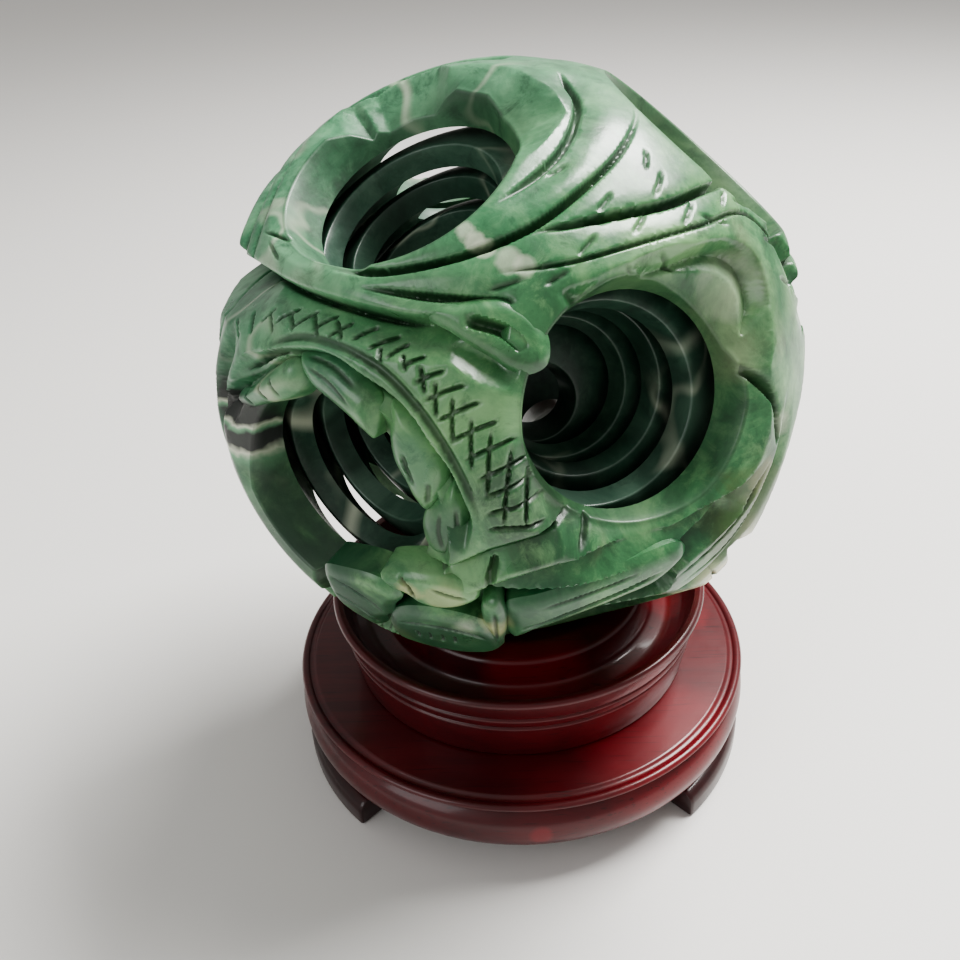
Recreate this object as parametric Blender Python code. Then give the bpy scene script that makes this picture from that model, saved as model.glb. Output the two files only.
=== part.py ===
"""Carved stone puzzle ball on a turned wooden stand.

Four loose shells and a hollow core sit inside one another, all about one centre. Each is pierced by
twelve round conical windows that point at the centre, so the inner shells can be turned with a stick
until their windows line up. The ball rests in the dish of a turned cup, which is screwed to a round
plate on three bracket feet. Metres, +Z up, origin on the table under the centre of the ball.
"""

import math

import bmesh
import bpy
from mathutils import Euler, Vector

MM = 0.001

# Ball: radii, walls and windows
BALL_RADIUS = 75.0 * MM
OUTER_WALL = 11.8 * MM
SHELL_WALL = 5.4 * MM
CORE_WALL = 8.0 * MM
SHELL_GAP = 3.1 * MM
WINDOW_HALF_ANGLE = math.radians(21.5)
CORE_WINDOW_HALF_ANGLE = math.radians(16.0)

# Where the twelve windows point, and how far each inner piece has been turned from that, in degrees
WINDOW_TURN = (-7.6, -18.1, -4.8)
RESTING_TURNS = {
    "outer_shell": (0.0, 0.0, 0.0),
    "shell_2": (1.5, -1.9, -3.2),
    "shell_3": (-1.0, -1.9, -4.0),
    "shell_4": (-1.0, -1.5, -7.0),
    "core_ball": (4.0, 3.0, -14.0),
}

# Stand: feet, plate and cup
FOOT_HEIGHT = 8.2 * MM
FOOT_OUTER_RADIUS = 67.7 * MM
FOOT_INNER_RADIUS = 50.0 * MM
FOOT_HALF_SWEEP = math.radians(16.5)
FOOT_DIRECTIONS = tuple(math.radians(a) for a in (-30.0, 90.0, 210.0))
PLATE_RADIUS = 68.0 * MM
PLATE_THICKNESS = 18.8 * MM
PLATE_GROOVE_RADIUS = 64.1 * MM
CUP_FOOT_RADIUS = 50.0 * MM
CUP_RIM_RADIUS = 54.8 * MM
CUP_MOUTH_RADIUS = 52.1 * MM
CUP_HEIGHT = 23.3 * MM
SEAT_RADIUS = 37.5 * MM
SEAT_DROP = 1.2 * MM
BALL_SINK = 6.9 * MM
GROOVE_DEPTH = 0.7 * MM

# Hidden fixings
DOWEL_RADIUS = 2.5 * MM
DOWEL_CIRCLE_RADIUS = 57.0 * MM
DOWEL_SPREAD = math.radians(9.0)
DOWEL_IN_FOOT = 5.0 * MM
DOWEL_IN_PLATE = 8.0 * MM
SCREW_SHANK_RADIUS = 2.2 * MM
SCREW_HEAD_RADIUS = 4.4 * MM
SCREW_HEAD_HEIGHT = 2.6 * MM
SCREW_HEAD_EDGE = 0.4 * MM
SCREW_HEAD_SINK = 0.8 * MM
SCREW_IN_CUP = 9.0 * MM
SLOT_WIDTH = 1.1 * MM

# Fits
SEAT_CLEARANCE = 0.4 * MM
JOINT_GAP = 0.3 * MM
HOLE_CLEARANCE = 0.3 * MM
CUTTER_OVERRUN = 1.0 * MM

# Fineness
TURNED_SEGMENTS = 48
OUTER_WINDOW_POINTS = 30
INNER_WINDOW_POINTS = 24
OUTER_SUBDIVISIONS = 4
INNER_SUBDIVISIONS = 3
SMALL_ROUND_SEGMENTS = 14
SHARP_EDGE = math.radians(35)

# Heights of the stand's levels, worked out upwards from the table
PLATE_BOTTOM = FOOT_HEIGHT + JOINT_GAP
PLATE_TOP = PLATE_BOTTOM + PLATE_THICKNESS
CUP_BOTTOM = PLATE_TOP + JOINT_GAP
CUP_TOP = CUP_BOTTOM + CUP_HEIGHT
BALL_CENTRE = CUP_TOP - BALL_SINK + BALL_RADIUS

JADE = (0.09, 0.24, 0.12)
DARK_JADE = (0.03, 0.10, 0.05)
MAHOGANY = (0.10, 0.012, 0.014)
BEECH = (0.45, 0.27, 0.13)
STEEL = (0.55, 0.55, 0.57)


def clear_scene():
    for obj in list(bpy.data.objects):
        bpy.data.objects.remove(obj, do_unlink=True)


def material(name, colour, roughness, metallic=0.0):
    made = bpy.data.materials.new(name)
    made.use_nodes = True
    shader = made.node_tree.nodes["Principled BSDF"]
    shader.inputs["Base Color"].default_value = (*colour, 1.0)
    shader.inputs["Roughness"].default_value = roughness
    shader.inputs["Metallic"].default_value = metallic
    return made


def add_object(name, bm, made_of, parent, location=(0.0, 0.0, 0.0)):
    """Turns the mesh into a smooth-shaded object under its parent."""
    bmesh.ops.recalc_face_normals(bm, faces=bm.faces)
    mesh = bpy.data.meshes.new(name)
    bm.to_mesh(mesh)
    bm.free()
    mesh.shade_smooth()
    mesh.set_sharp_from_angle(angle=SHARP_EDGE)
    mesh.materials.append(made_of)
    obj = bpy.data.objects.new(name, mesh)
    obj.parent = parent
    obj.location = location
    bpy.context.scene.collection.objects.link(obj)
    return obj


def add_empty(name, location):
    empty = bpy.data.objects.new(name, None)
    empty.location = location
    bpy.context.scene.collection.objects.link(empty)
    return empty


# The ball


def window_directions():
    """The twelve corners of an icosahedron, each followed by the one opposite."""
    golden = (1 + math.sqrt(5)) / 2
    turn = Euler([math.radians(a) for a in WINDOW_TURN]).to_matrix()
    directions = []
    for side in (1, -1):
        for corner in ((0, side, golden), (side, golden, 0), (golden, 0, side)):
            direction = (turn @ Vector(corner)).normalized()
            directions += [direction, -direction]
    return directions


def window_ring(direction, half_angle, count):
    """Unit vectors round a window's edge, in order."""
    across = direction.orthogonal().normalized()
    along = direction.cross(across)
    ring = []
    for step in range(count):
        turn = 2 * math.pi * step / count
        sideways = across * math.cos(turn) + along * math.sin(turn)
        ring.append(direction * math.cos(half_angle) + sideways * math.sin(half_angle))
    return ring


def pierced_sphere(half_angle, ring_points, subdivisions):
    """A unit sphere with its windows open: its points, its triangles and the rings of point numbers."""
    directions = window_directions()
    points = []
    rings = []
    for first, opposite in zip(directions[::2], directions[1::2]):
        ring = window_ring(first, half_angle, ring_points)
        for edge in (ring, [-point for point in ring]):
            rings.append(list(range(len(points), len(points) + ring_points)))
            points += edge
    filler = bmesh.new()
    bmesh.ops.create_icosphere(filler, subdivisions=subdivisions, radius=1.0)
    clear_of_windows = math.cos(half_angle + math.radians(4.0))
    for vert in filler.verts:
        if max(vert.co.dot(direction) for direction in directions) < clear_of_windows:
            points.append(vert.co.copy())
    filler.free()

    hull = bmesh.new()
    numbers = {hull.verts.new(point): number for number, point in enumerate(points)}
    bmesh.ops.convex_hull(hull, input=hull.verts, use_existing_faces=False)
    ring_of = {number: index for index, ring in enumerate(rings) for number in ring}
    triangles = []
    for face in hull.faces:
        corners = [numbers[vert] for vert in face.verts]
        owners = {ring_of.get(corner, -1) for corner in corners}
        if len(owners) > 1 or -1 in owners:
            triangles.append(corners)
    hull.free()
    return points, triangles, rings


def shell_mesh(outer_radius, wall, sphere, turn_degrees):
    """A spherical shell whose windows are cones with their tips at its centre."""
    points, triangles, rings = sphere
    turn = Euler([math.radians(a) for a in turn_degrees]).to_matrix()
    bm = bmesh.new()
    outside = [bm.verts.new(turn @ point * outer_radius) for point in points]
    inside = [bm.verts.new(turn @ point * (outer_radius - wall)) for point in points]
    for a, b, c in triangles:
        bm.faces.new((outside[a], outside[b], outside[c]))
        bm.faces.new((inside[c], inside[b], inside[a]))
    for ring in rings:
        for a, b in zip(ring, ring[1:] + ring[:1]):
            bm.faces.new((outside[a], outside[b], inside[b], inside[a]))
    return bm


def build_ball(parent):
    jade = material("jade", JADE, 0.28)
    dark = material("inner_jade", DARK_JADE, 0.3)
    fine = pierced_sphere(WINDOW_HALF_ANGLE, OUTER_WINDOW_POINTS, OUTER_SUBDIVISIONS)
    coarse = pierced_sphere(WINDOW_HALF_ANGLE, INNER_WINDOW_POINTS, INNER_SUBDIVISIONS)
    narrow = pierced_sphere(CORE_WINDOW_HALF_ANGLE, INNER_WINDOW_POINTS, INNER_SUBDIVISIONS)
    pieces = [
        ("outer_shell", OUTER_WALL, fine, jade),
        ("shell_2", SHELL_WALL, coarse, dark),
        ("shell_3", SHELL_WALL, coarse, dark),
        ("shell_4", SHELL_WALL, coarse, dark),
        ("core_ball", CORE_WALL, narrow, dark),
    ]
    radius = BALL_RADIUS
    for name, wall, sphere, made_of in pieces:
        add_object(name, shell_mesh(radius, wall, sphere, RESTING_TURNS[name]), made_of, parent)
        radius -= wall + SHELL_GAP


# The stand


def turned_mesh(profile, segments=TURNED_SEGMENTS):
    """A profile of (radius, height) points, from the axis round to the axis again, turned about Z."""
    bm = bmesh.new()
    rows = []
    for radius, height in profile:
        if radius == 0.0:
            rows.append([bm.verts.new((0.0, 0.0, height))])
            continue
        angles = [2 * math.pi * step / segments for step in range(segments)]
        rows.append([bm.verts.new((radius * math.cos(a), radius * math.sin(a), height)) for a in angles])
    for upper, lower in zip(rows, rows[1:]):
        for step in range(segments):
            after = (step + 1) % segments
            if len(upper) == 1:
                bm.faces.new((upper[0], lower[step], lower[after]))
            elif len(lower) == 1:
                bm.faces.new((upper[step], lower[0], upper[after]))
            else:
                bm.faces.new((upper[step], lower[step], lower[after], upper[after]))
    return bm


def arc(centre, radius, start, end, steps):
    """(radius, height) points along an arc of the profile, angles in degrees from outwards."""
    points = []
    for step in range(steps + 1):
        angle = math.radians(start + (end - start) * step / steps)
        points.append((centre[0] + radius * math.cos(angle), centre[1] + radius * math.sin(angle)))
    return points


def cut_away(obj, cutter_mesh, location=(0.0, 0.0, 0.0), label="hole"):
    """Cuts a shape out of the object and leaves the cutter as a hidden guide."""
    cutter = add_object(f"{obj.name}_{label}_cutter", cutter_mesh, obj.data.materials[0], obj.parent, location)
    cutter.hide_render = True
    cutter.display_type = "WIRE"
    cut = obj.modifiers.new(label, "BOOLEAN")
    cut.operation = "DIFFERENCE"
    cut.object = cutter


def plate_profile():
    """A flat disc with a groove near its edge, a small bead and a full rounded side."""
    side_height = PLATE_THICKNESS - 2.4 * MM
    side_centre = (PLATE_RADIUS - 0.5 * side_height, PLATE_BOTTOM + 0.5 * side_height)
    bead = arc((PLATE_GROOVE_RADIUS + 1.9 * MM, PLATE_TOP - 1.5 * MM), 1.3 * MM, 150, 10, 4)
    side = arc(side_centre, 0.5 * side_height, 62, -90, 9)
    return [
        (0.0, PLATE_TOP),
        (PLATE_GROOVE_RADIUS - 0.8 * MM, PLATE_TOP),
        (PLATE_GROOVE_RADIUS, PLATE_TOP - GROOVE_DEPTH),
        *bead,
        *side,
        (0.0, PLATE_BOTTOM),
    ]


def cup_outer_side():
    """The cup's side from the rim down: it narrows to its foot past two cut grooves."""
    lean = (CUP_RIM_RADIUS - CUP_FOOT_RADIUS) / CUP_HEIGHT
    points = arc((CUP_RIM_RADIUS - 1.3 * MM, CUP_TOP - 1.3 * MM), 1.3 * MM, 90, -10, 4)
    for drop in (7.5 * MM, 11.1 * MM):
        radius = CUP_RIM_RADIUS - lean * drop - 0.4 * MM
        points.append((radius, CUP_TOP - drop + 0.6 * MM))
        points.append((radius - GROOVE_DEPTH, CUP_TOP - drop))
        points.append((radius, CUP_TOP - drop - 0.6 * MM))
    points.append((CUP_FOOT_RADIUS + 0.6 * MM, CUP_BOTTOM + 4.0 * MM))
    points.append((CUP_FOOT_RADIUS, CUP_BOTTOM))
    return points


def dish_height(radius):
    """The dish follows the ball with the seat clearance between them."""
    reach = BALL_RADIUS + SEAT_CLEARANCE
    return BALL_CENTRE - math.sqrt(reach * reach - radius * radius)


def cup_profile():
    """A bowl with a raised seat in its middle, and a channel between the seat and the rim."""
    seat_top = CUP_TOP - SEAT_DROP
    reach = BALL_RADIUS + SEAT_CLEARANCE
    dish_radius = math.sqrt(reach * reach - (BALL_CENTRE - seat_top) ** 2)
    steps = 6
    dish = [(dish_radius * s / steps, dish_height(dish_radius * s / steps)) for s in range(steps + 1)]
    channel_middle = 0.5 * (SEAT_RADIUS + CUP_MOUTH_RADIUS)
    channel_bottom = CUP_TOP - 10.5 * MM
    return [
        *dish,
        (SEAT_RADIUS - 0.8 * MM, seat_top),
        (SEAT_RADIUS, seat_top - 0.8 * MM),
        (SEAT_RADIUS + 1.6 * MM, channel_bottom + 2.0 * MM),
        (channel_middle, channel_bottom),
        (CUP_MOUTH_RADIUS - 2.6 * MM, channel_bottom + 3.0 * MM),
        (CUP_MOUTH_RADIUS - 0.8 * MM, CUP_TOP - 3.0 * MM),
        (CUP_MOUTH_RADIUS, CUP_TOP - 0.5 * MM),
        *cup_outer_side(),
        (0.0, CUP_BOTTOM),
    ]


def foot_section():
    """The foot's outline in radius and height: an upright face with a rounded shoulder above it."""
    shoulder = FOOT_HEIGHT * 0.5
    return [
        (FOOT_INNER_RADIUS, FOOT_HEIGHT),
        (FOOT_INNER_RADIUS + 1.5 * MM, 0.0),
        (FOOT_OUTER_RADIUS, 0.0),
        *arc((FOOT_OUTER_RADIUS - shoulder, shoulder), shoulder, 0, 90, 4),
    ]


def foot_mesh(direction):
    """The section swept about the stand's axis, with flat radial ends."""
    section = foot_section()
    steps = 8
    bm = bmesh.new()
    stations = []
    for step in range(steps + 1):
        angle = direction - FOOT_HALF_SWEEP + 2 * FOOT_HALF_SWEEP * step / steps
        stations.append([bm.verts.new((r * math.cos(angle), r * math.sin(angle), z)) for r, z in section])
    for here, there in zip(stations, stations[1:]):
        for corner in range(len(section)):
            after = (corner + 1) % len(section)
            bm.faces.new((here[corner], here[after], there[after], there[corner]))
    bm.faces.new(stations[0])
    bm.faces.new(stations[-1])
    return bm


def rod_mesh(radius, length, chamfer):
    """An upright round rod from height zero, with chamfered ends."""
    return turned_mesh(
        [
            (0.0, length),
            (radius - chamfer, length),
            (radius, length - chamfer),
            (radius, chamfer),
            (radius - chamfer, 0.0),
            (0.0, 0.0),
        ],
        SMALL_ROUND_SEGMENTS,
    )


def hole_mesh(radius, length):
    return turned_mesh([(0.0, length), (radius, length), (radius, 0.0), (0.0, 0.0)], SMALL_ROUND_SEGMENTS)


def screw_mesh(length):
    """A countersunk wood screw standing on its head, with a tapered tip."""
    return turned_mesh(
        [
            (0.0, length),
            (SCREW_SHANK_RADIUS * 0.3, length - 0.4 * MM),
            (SCREW_SHANK_RADIUS, length - 4.0 * MM),
            (SCREW_SHANK_RADIUS, SCREW_HEAD_HEIGHT),
            (SCREW_HEAD_RADIUS, SCREW_HEAD_EDGE),
            (SCREW_HEAD_RADIUS, 0.0),
            (0.0, 0.0),
        ],
        SMALL_ROUND_SEGMENTS,
    )


def screw_hole_mesh(length):
    """A clearance hole with a countersink that the screw's head sinks into."""
    shank = SCREW_SHANK_RADIUS + HOLE_CLEARANCE
    head = SCREW_HEAD_RADIUS + HOLE_CLEARANCE
    head_face = CUTTER_OVERRUN + SCREW_HEAD_SINK
    return turned_mesh(
        [
            (0.0, length),
            (shank, length),
            (shank, head_face + SCREW_HEAD_HEIGHT + HOLE_CLEARANCE),
            (head, head_face + SCREW_HEAD_EDGE + HOLE_CLEARANCE),
            (head, 0.0),
            (0.0, 0.0),
        ],
        SMALL_ROUND_SEGMENTS,
    )


def slot_mesh():
    bm = bmesh.new()
    bmesh.ops.create_cube(bm, size=1.0)
    bmesh.ops.scale(bm, vec=(3 * SCREW_HEAD_RADIUS, SLOT_WIDTH, 2.0 * MM), verts=bm.verts)
    return bm


def build_screw(parent, wood_pieces):
    """The screw comes up through the plate into the cup and holds the two together."""
    head_face = PLATE_BOTTOM + SCREW_HEAD_SINK
    length = CUP_BOTTOM + SCREW_IN_CUP - head_face
    steel = material("zinc_plated_steel", STEEL, 0.35, 1.0)
    screw = add_object("cup_screw", screw_mesh(length), steel, parent, (0.0, 0.0, head_face))
    cut_away(screw, slot_mesh(), (0.0, 0.0, head_face), "slot")
    plate, cup = wood_pieces
    through = screw_hole_mesh(PLATE_THICKNESS + 2 * CUTTER_OVERRUN)
    cut_away(plate, through, (0.0, 0.0, PLATE_BOTTOM - CUTTER_OVERRUN), "screw")
    blind = hole_mesh(SCREW_SHANK_RADIUS + HOLE_CLEARANCE, SCREW_IN_CUP + 2 * CUTTER_OVERRUN)
    cut_away(cup, blind, (0.0, 0.0, CUP_BOTTOM - CUTTER_OVERRUN), "screw")


def build_feet(parent, plate, mahogany):
    beech = material("beech", BEECH, 0.6)
    hole_radius = DOWEL_RADIUS + HOLE_CLEARANCE
    dowel_bottom = FOOT_HEIGHT - DOWEL_IN_FOOT
    dowel_length = DOWEL_IN_FOOT + JOINT_GAP + DOWEL_IN_PLATE
    hole_length = dowel_length + 2 * JOINT_GAP
    for number, direction in enumerate(FOOT_DIRECTIONS, start=1):
        foot = add_object(f"foot_{number}", foot_mesh(direction), mahogany, parent)
        for side, spread in (("left", -DOWEL_SPREAD), ("right", DOWEL_SPREAD)):
            angle = direction + spread
            x = DOWEL_CIRCLE_RADIUS * math.cos(angle)
            y = DOWEL_CIRCLE_RADIUS * math.sin(angle)
            rod = rod_mesh(DOWEL_RADIUS, dowel_length, 0.4 * MM)
            add_object(f"foot_{number}_dowel_{side}", rod, beech, parent, (x, y, dowel_bottom))
            for wood in (foot, plate):
                hole = hole_mesh(hole_radius, hole_length)
                cut_away(wood, hole, (x, y, dowel_bottom - JOINT_GAP), f"dowel_{number}_{side}")


def build_stand():
    stand = add_empty("stand", (0.0, 0.0, 0.0))
    mahogany = material("mahogany", MAHOGANY, 0.22)
    plate = add_object("base_plate", turned_mesh(plate_profile()), mahogany, stand)
    cup = add_object("cup", turned_mesh(cup_profile()), mahogany, stand)
    build_feet(stand, plate, mahogany)
    build_screw(stand, (plate, cup))


clear_scene()
build_ball(add_empty("ball_centre", (0.0, 0.0, BALL_CENTRE)))
build_stand()
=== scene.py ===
import math

import bpy
import numpy as np
from mathutils import Euler, Matrix, Vector
from mathutils.geometry import delaunay_2d_cdt


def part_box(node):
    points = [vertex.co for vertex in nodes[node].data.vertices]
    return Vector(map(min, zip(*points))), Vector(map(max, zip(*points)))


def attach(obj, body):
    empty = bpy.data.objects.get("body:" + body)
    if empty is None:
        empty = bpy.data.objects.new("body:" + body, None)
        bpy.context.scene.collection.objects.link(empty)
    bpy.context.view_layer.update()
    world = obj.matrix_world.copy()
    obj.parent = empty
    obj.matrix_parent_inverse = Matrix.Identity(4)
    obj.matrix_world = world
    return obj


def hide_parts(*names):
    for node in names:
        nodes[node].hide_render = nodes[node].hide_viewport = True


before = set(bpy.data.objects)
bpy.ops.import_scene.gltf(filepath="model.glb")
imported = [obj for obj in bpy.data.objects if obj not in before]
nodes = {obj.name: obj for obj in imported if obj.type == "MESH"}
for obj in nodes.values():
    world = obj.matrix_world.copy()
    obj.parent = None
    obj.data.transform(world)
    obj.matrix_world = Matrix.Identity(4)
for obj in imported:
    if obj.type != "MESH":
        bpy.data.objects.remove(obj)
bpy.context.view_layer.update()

# Lengths are in millimetres until a mesh is made.
MM = 0.001


# ---------------------------------------------------------------- sizes from the frame

def box_mm(node_name):
    low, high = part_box(node_name)
    return np.array(low) / MM, np.array(high) / MM


BALL_RADIUS = 75.0
CENTRE = np.array([0.0, 0.0, 119.0])
OUTER_INSIDE = 63.2
# Half angles of the windows seen from the centre.
WINDOW = math.radians(21.5)
CORE_WINDOW = math.radians(16.0)
WINDOW_TURN = (-7.6, -18.1, -4.8)
# Outside radius, inside radius and turn at rest (degrees about X, Y and Z) of each inner shell.
SHELLS = {
    "shell_2": (60.1, 54.7, (1.5, -1.9, -3.2)),
    "shell_3": (51.6, 46.2, (-1.0, -1.9, -4.0)),
    "shell_4": (43.1, 37.7, (-1.0, -1.5, -7.0)),
    "core_ball": (34.6, 26.6, (4.0, 3.0, -14.0)),
}


# ---------------------------------------------------------------- small helpers

def unit(v):
    return v / np.linalg.norm(v, axis=-1, keepdims=True)


def direction(lon, lat):
    """Unit vector at a longitude east of -Y and a latitude, in degrees."""
    lon, lat = math.radians(lon), math.radians(lat)
    return np.array([math.sin(lon) * math.cos(lat), -math.cos(lon) * math.cos(lat), math.sin(lat)])


def smooth(x):
    x = np.clip(x, 0.0, 1.0)
    return x * x * (3 - 2 * x)


def through(points, steps=5, closed=False):
    """A smooth line of unit vectors through (lon, lat) points."""
    knots = [direction(*p) for p in points]
    if closed:
        knots = [knots[-1]] + knots + knots[:2]
    else:
        knots = [2 * knots[0] - knots[1]] + knots + [2 * knots[-1] - knots[-2]]
    line = []
    for a, b, c, d in zip(knots, knots[1:], knots[2:], knots[3:]):
        for step in range(steps):
            t = step / steps
            line.append(0.5 * (2 * b + (c - a) * t + (2 * a - 5 * b + 4 * c - d) * t * t
                               + (3 * b - a - 3 * c + d) * t ** 3))
    if not closed:
        line.append(knots[-2])
    return unit(np.array(line))


def add_mesh(name, verts, faces, material, body, stands_for=(), sharp=40.0, values=None):
    """A piece from points in millimetres, riding on a CAD body."""
    mesh = bpy.data.meshes.new(name)
    mesh.from_pydata((np.asarray(verts) * MM).tolist(), [], [list(map(int, f)) for f in faces])
    mesh.validate()
    # values, if given, become the 'carving' attribute, which holds painted shade for the jade.
    if values is not None:
        layer = mesh.attributes.new("carving", "FLOAT", "POINT")
        layer.data.foreach_set("value", np.asarray(values, np.float32))
    mesh.materials.append(material)
    mesh.shade_smooth()
    mesh.set_sharp_from_angle(angle=math.radians(sharp))
    obj = bpy.data.objects.new(name, mesh)
    bpy.context.scene.collection.objects.link(obj)
    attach(obj, body)
    if stands_for:
        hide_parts(*stands_for)
    return obj


# ---------------------------------------------------------------- a sphere net with windows

def window_axes():
    golden = (1 + math.sqrt(5)) / 2
    turn = Euler([math.radians(a) for a in WINDOW_TURN]).to_matrix()
    axes = []
    for side in (1, -1):
        for corner in ((0, side, golden), (side, golden, 0), (golden, 0, side)):
            axis = np.array((turn @ Vector(corner)).normalized())
            axes += [axis, -axis]
    return np.array(axes)


AXES = window_axes()


def icosahedron_faces():
    near = AXES @ AXES.T > 0.3
    faces = []
    for a in range(12):
        for b in range(a + 1, 12):
            for c in range(b + 1, 12):
                if near[a, b] and near[b, c] and near[a, c]:
                    outward = np.dot(np.cross(AXES[b] - AXES[a], AXES[c] - AXES[a]), AXES[a]) > 0
                    faces.append((a, b, c) if outward else (a, c, b))
    return faces


def sphere_net(count, half_angle):
    """Points, triangles and each point's window number (-1 off the rims) of a pierced unit sphere.
    count is the number of steps between two window centres."""
    # Steps from a window's centre to its rim, fewer for the core ball's smaller windows, and to where
    # the net is no longer drawn towards the rim.
    rim_step = round(count * (0.375 if half_angle > 0.3 else 0.28))
    blend_step = count // 2
    all_points, all_rims, all_tris = [], [], []
    for face in icosahedron_faces():
        corners = AXES[list(face)]
        index = {}
        for i in range(count + 1):
            for j in range(count + 1 - i):
                weights = np.array([i, j, count - i - j], float)
                nearest = int(np.argmax(weights))
                ring = count - weights[nearest]
                if ring < rim_step - 0.5:
                    continue
                point = unit(weights @ corners)
                rim = -1
                if ring < blend_step + 0.5:
                    axis = corners[nearest]
                    others = weights.copy()
                    others[nearest] = 0.0
                    side = others @ corners / ring
                    at_rim = unit((count - rim_step) * axis + rim_step * side)
                    shift = half_angle - math.acos(np.clip(at_rim @ axis, -1, 1))
                    blend = (blend_step - ring) / (blend_step - rim_step)
                    blend = blend * blend * (3 - 2 * blend)
                    angle = math.acos(np.clip(point @ axis, -1, 1)) + shift * blend
                    across = unit(side - (side @ axis) * axis)
                    point = math.cos(angle) * axis + math.sin(angle) * across
                    if ring < rim_step + 0.5:
                        rim = face[nearest]
                index[i, j] = len(all_points)
                all_points.append(point)
                all_rims.append(rim)
        for i in range(count):
            for j in range(count - i):
                up = [(i + 1, j), (i, j + 1), (i, j)]
                if all(p in index for p in up):
                    all_tris.append([index[p] for p in up])
                down = [(i + 1, j), (i, j + 1), (i + 1, j + 1)]
                if i + j + 2 <= count and all(p in index for p in down):
                    all_tris.append([index[down[0]], index[down[2]], index[down[1]]])
    points = np.array(all_points)
    _, first, merged = np.unique(np.round(points, 6), axis=0, return_index=True, return_inverse=True)
    merged = merged.reshape(-1)
    points = points[first]
    rims = np.array(all_rims)[first]
    tris = merged[np.array(all_tris)]
    corner = points[tris]
    outward = np.einsum("ij,ij->i", np.cross(corner[:, 1] - corner[:, 0], corner[:, 2] - corner[:, 0]),
                        corner[:, 0])
    tris[outward < 0] = tris[outward < 0][:, ::-1]
    return points, tris, rims


def edges_of(tris):
    """Unique edges, how many triangles use each, and each triangle's three edge numbers."""
    pairs = np.concatenate([tris[:, [0, 1]], tris[:, [1, 2]], tris[:, [2, 0]]])
    pairs = np.sort(pairs, axis=1)
    edges, number, uses = np.unique(pairs, axis=0, return_inverse=True, return_counts=True)
    return edges, uses, number.reshape(3, -1).T


def split_marked(points, tris, rims, marked, edges, uses, tri_edges, half_angle):
    """Halves the marked edges and divides their triangles to match."""
    ends = edges[marked]
    middle = unit(points[ends[:, 0]] + points[ends[:, 1]])
    on_rim = uses[marked] == 1
    window = np.where(on_rim, rims[ends[:, 0]], -1)
    axis = AXES[window]
    across = unit(middle - np.einsum("ij,ij->i", middle, axis)[:, None] * axis)
    on_circle = math.cos(half_angle) * axis + math.sin(half_angle) * across
    middle = np.where(on_rim[:, None], on_circle, middle)
    new_number = np.full(len(edges), -1)
    new_number[marked] = len(points) + np.arange(len(ends))
    points = np.concatenate([points, middle])
    rims = np.concatenate([rims, window])
    m = new_number[tri_edges]
    has = m >= 0
    count = has.sum(axis=1)
    made = [tris[count == 0]]
    three = count == 3
    a, b, c = tris[three].T
    x, y, z = m[three].T
    made += [np.stack(t, 1) for t in ((a, x, z), (x, b, y), (z, y, c), (x, y, z))]
    for turn in range(3):
        t = np.roll(tris, -turn, axis=1)
        e = np.roll(m, -turn, axis=1)
        one = (count == 1) & (e[:, 0] >= 0)
        a, b, c = t[one].T
        x = e[one][:, 0]
        made += [np.stack((a, x, c), 1), np.stack((x, b, c), 1)]
        two = (count == 2) & (e[:, 2] < 0)
        a, b, c = t[two].T
        x, y = e[two][:, 0], e[two][:, 1]
        one_way, other_way = points[a] - points[y], points[x] - points[c]
        shorter = (np.linalg.norm(one_way, axis=1) < np.linalg.norm(other_way, axis=1))[:, None]
        made.append(np.stack((x, b, y), 1))
        made.append(np.where(shorter, np.stack((a, x, y), 1), np.stack((a, x, c), 1)))
        made.append(np.where(shorter, np.stack((a, y, c), 1), np.stack((x, y, c), 1)))
    return points, np.concatenate(made), rims


def rim_rings(points, rims):
    """For each window, its rim's point numbers in order of their angle round the axis."""
    rings = {}
    for window, axis in enumerate(AXES):
        numbers = np.where(rims == window)[0]
        across = unit(np.cross(axis, [0.3, 0.5, 0.8]))
        along = np.cross(axis, across)
        turn = np.arctan2(points[numbers] @ along, points[numbers] @ across)
        order = np.argsort(turn)
        rings[window] = (numbers[order], turn[order])
    return rings


def zip_rings(one, one_turn, two, two_turn):
    """Triangles between two closed rings, each sorted by its angle."""
    faces = []
    i = j = 0
    n, m = len(one), len(two)
    one_turn = np.append(one_turn, one_turn[0] + 2 * math.pi)
    two_turn = np.append(two_turn, two_turn[0] + 2 * math.pi)
    while i < n or j < m:
        if j == m or (i < n and one_turn[i + 1] <= two_turn[j + 1] + 1e-9):
            faces.append((one[i % n], two[j % m], one[(i + 1) % n]))
            i += 1
        else:
            faces.append((one[i % n], two[j % m], two[(j + 1) % m]))
            j += 1
    return faces


def turned(rotation_degrees):
    return np.array(Euler([math.radians(a) for a in rotation_degrees]).to_matrix())


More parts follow.
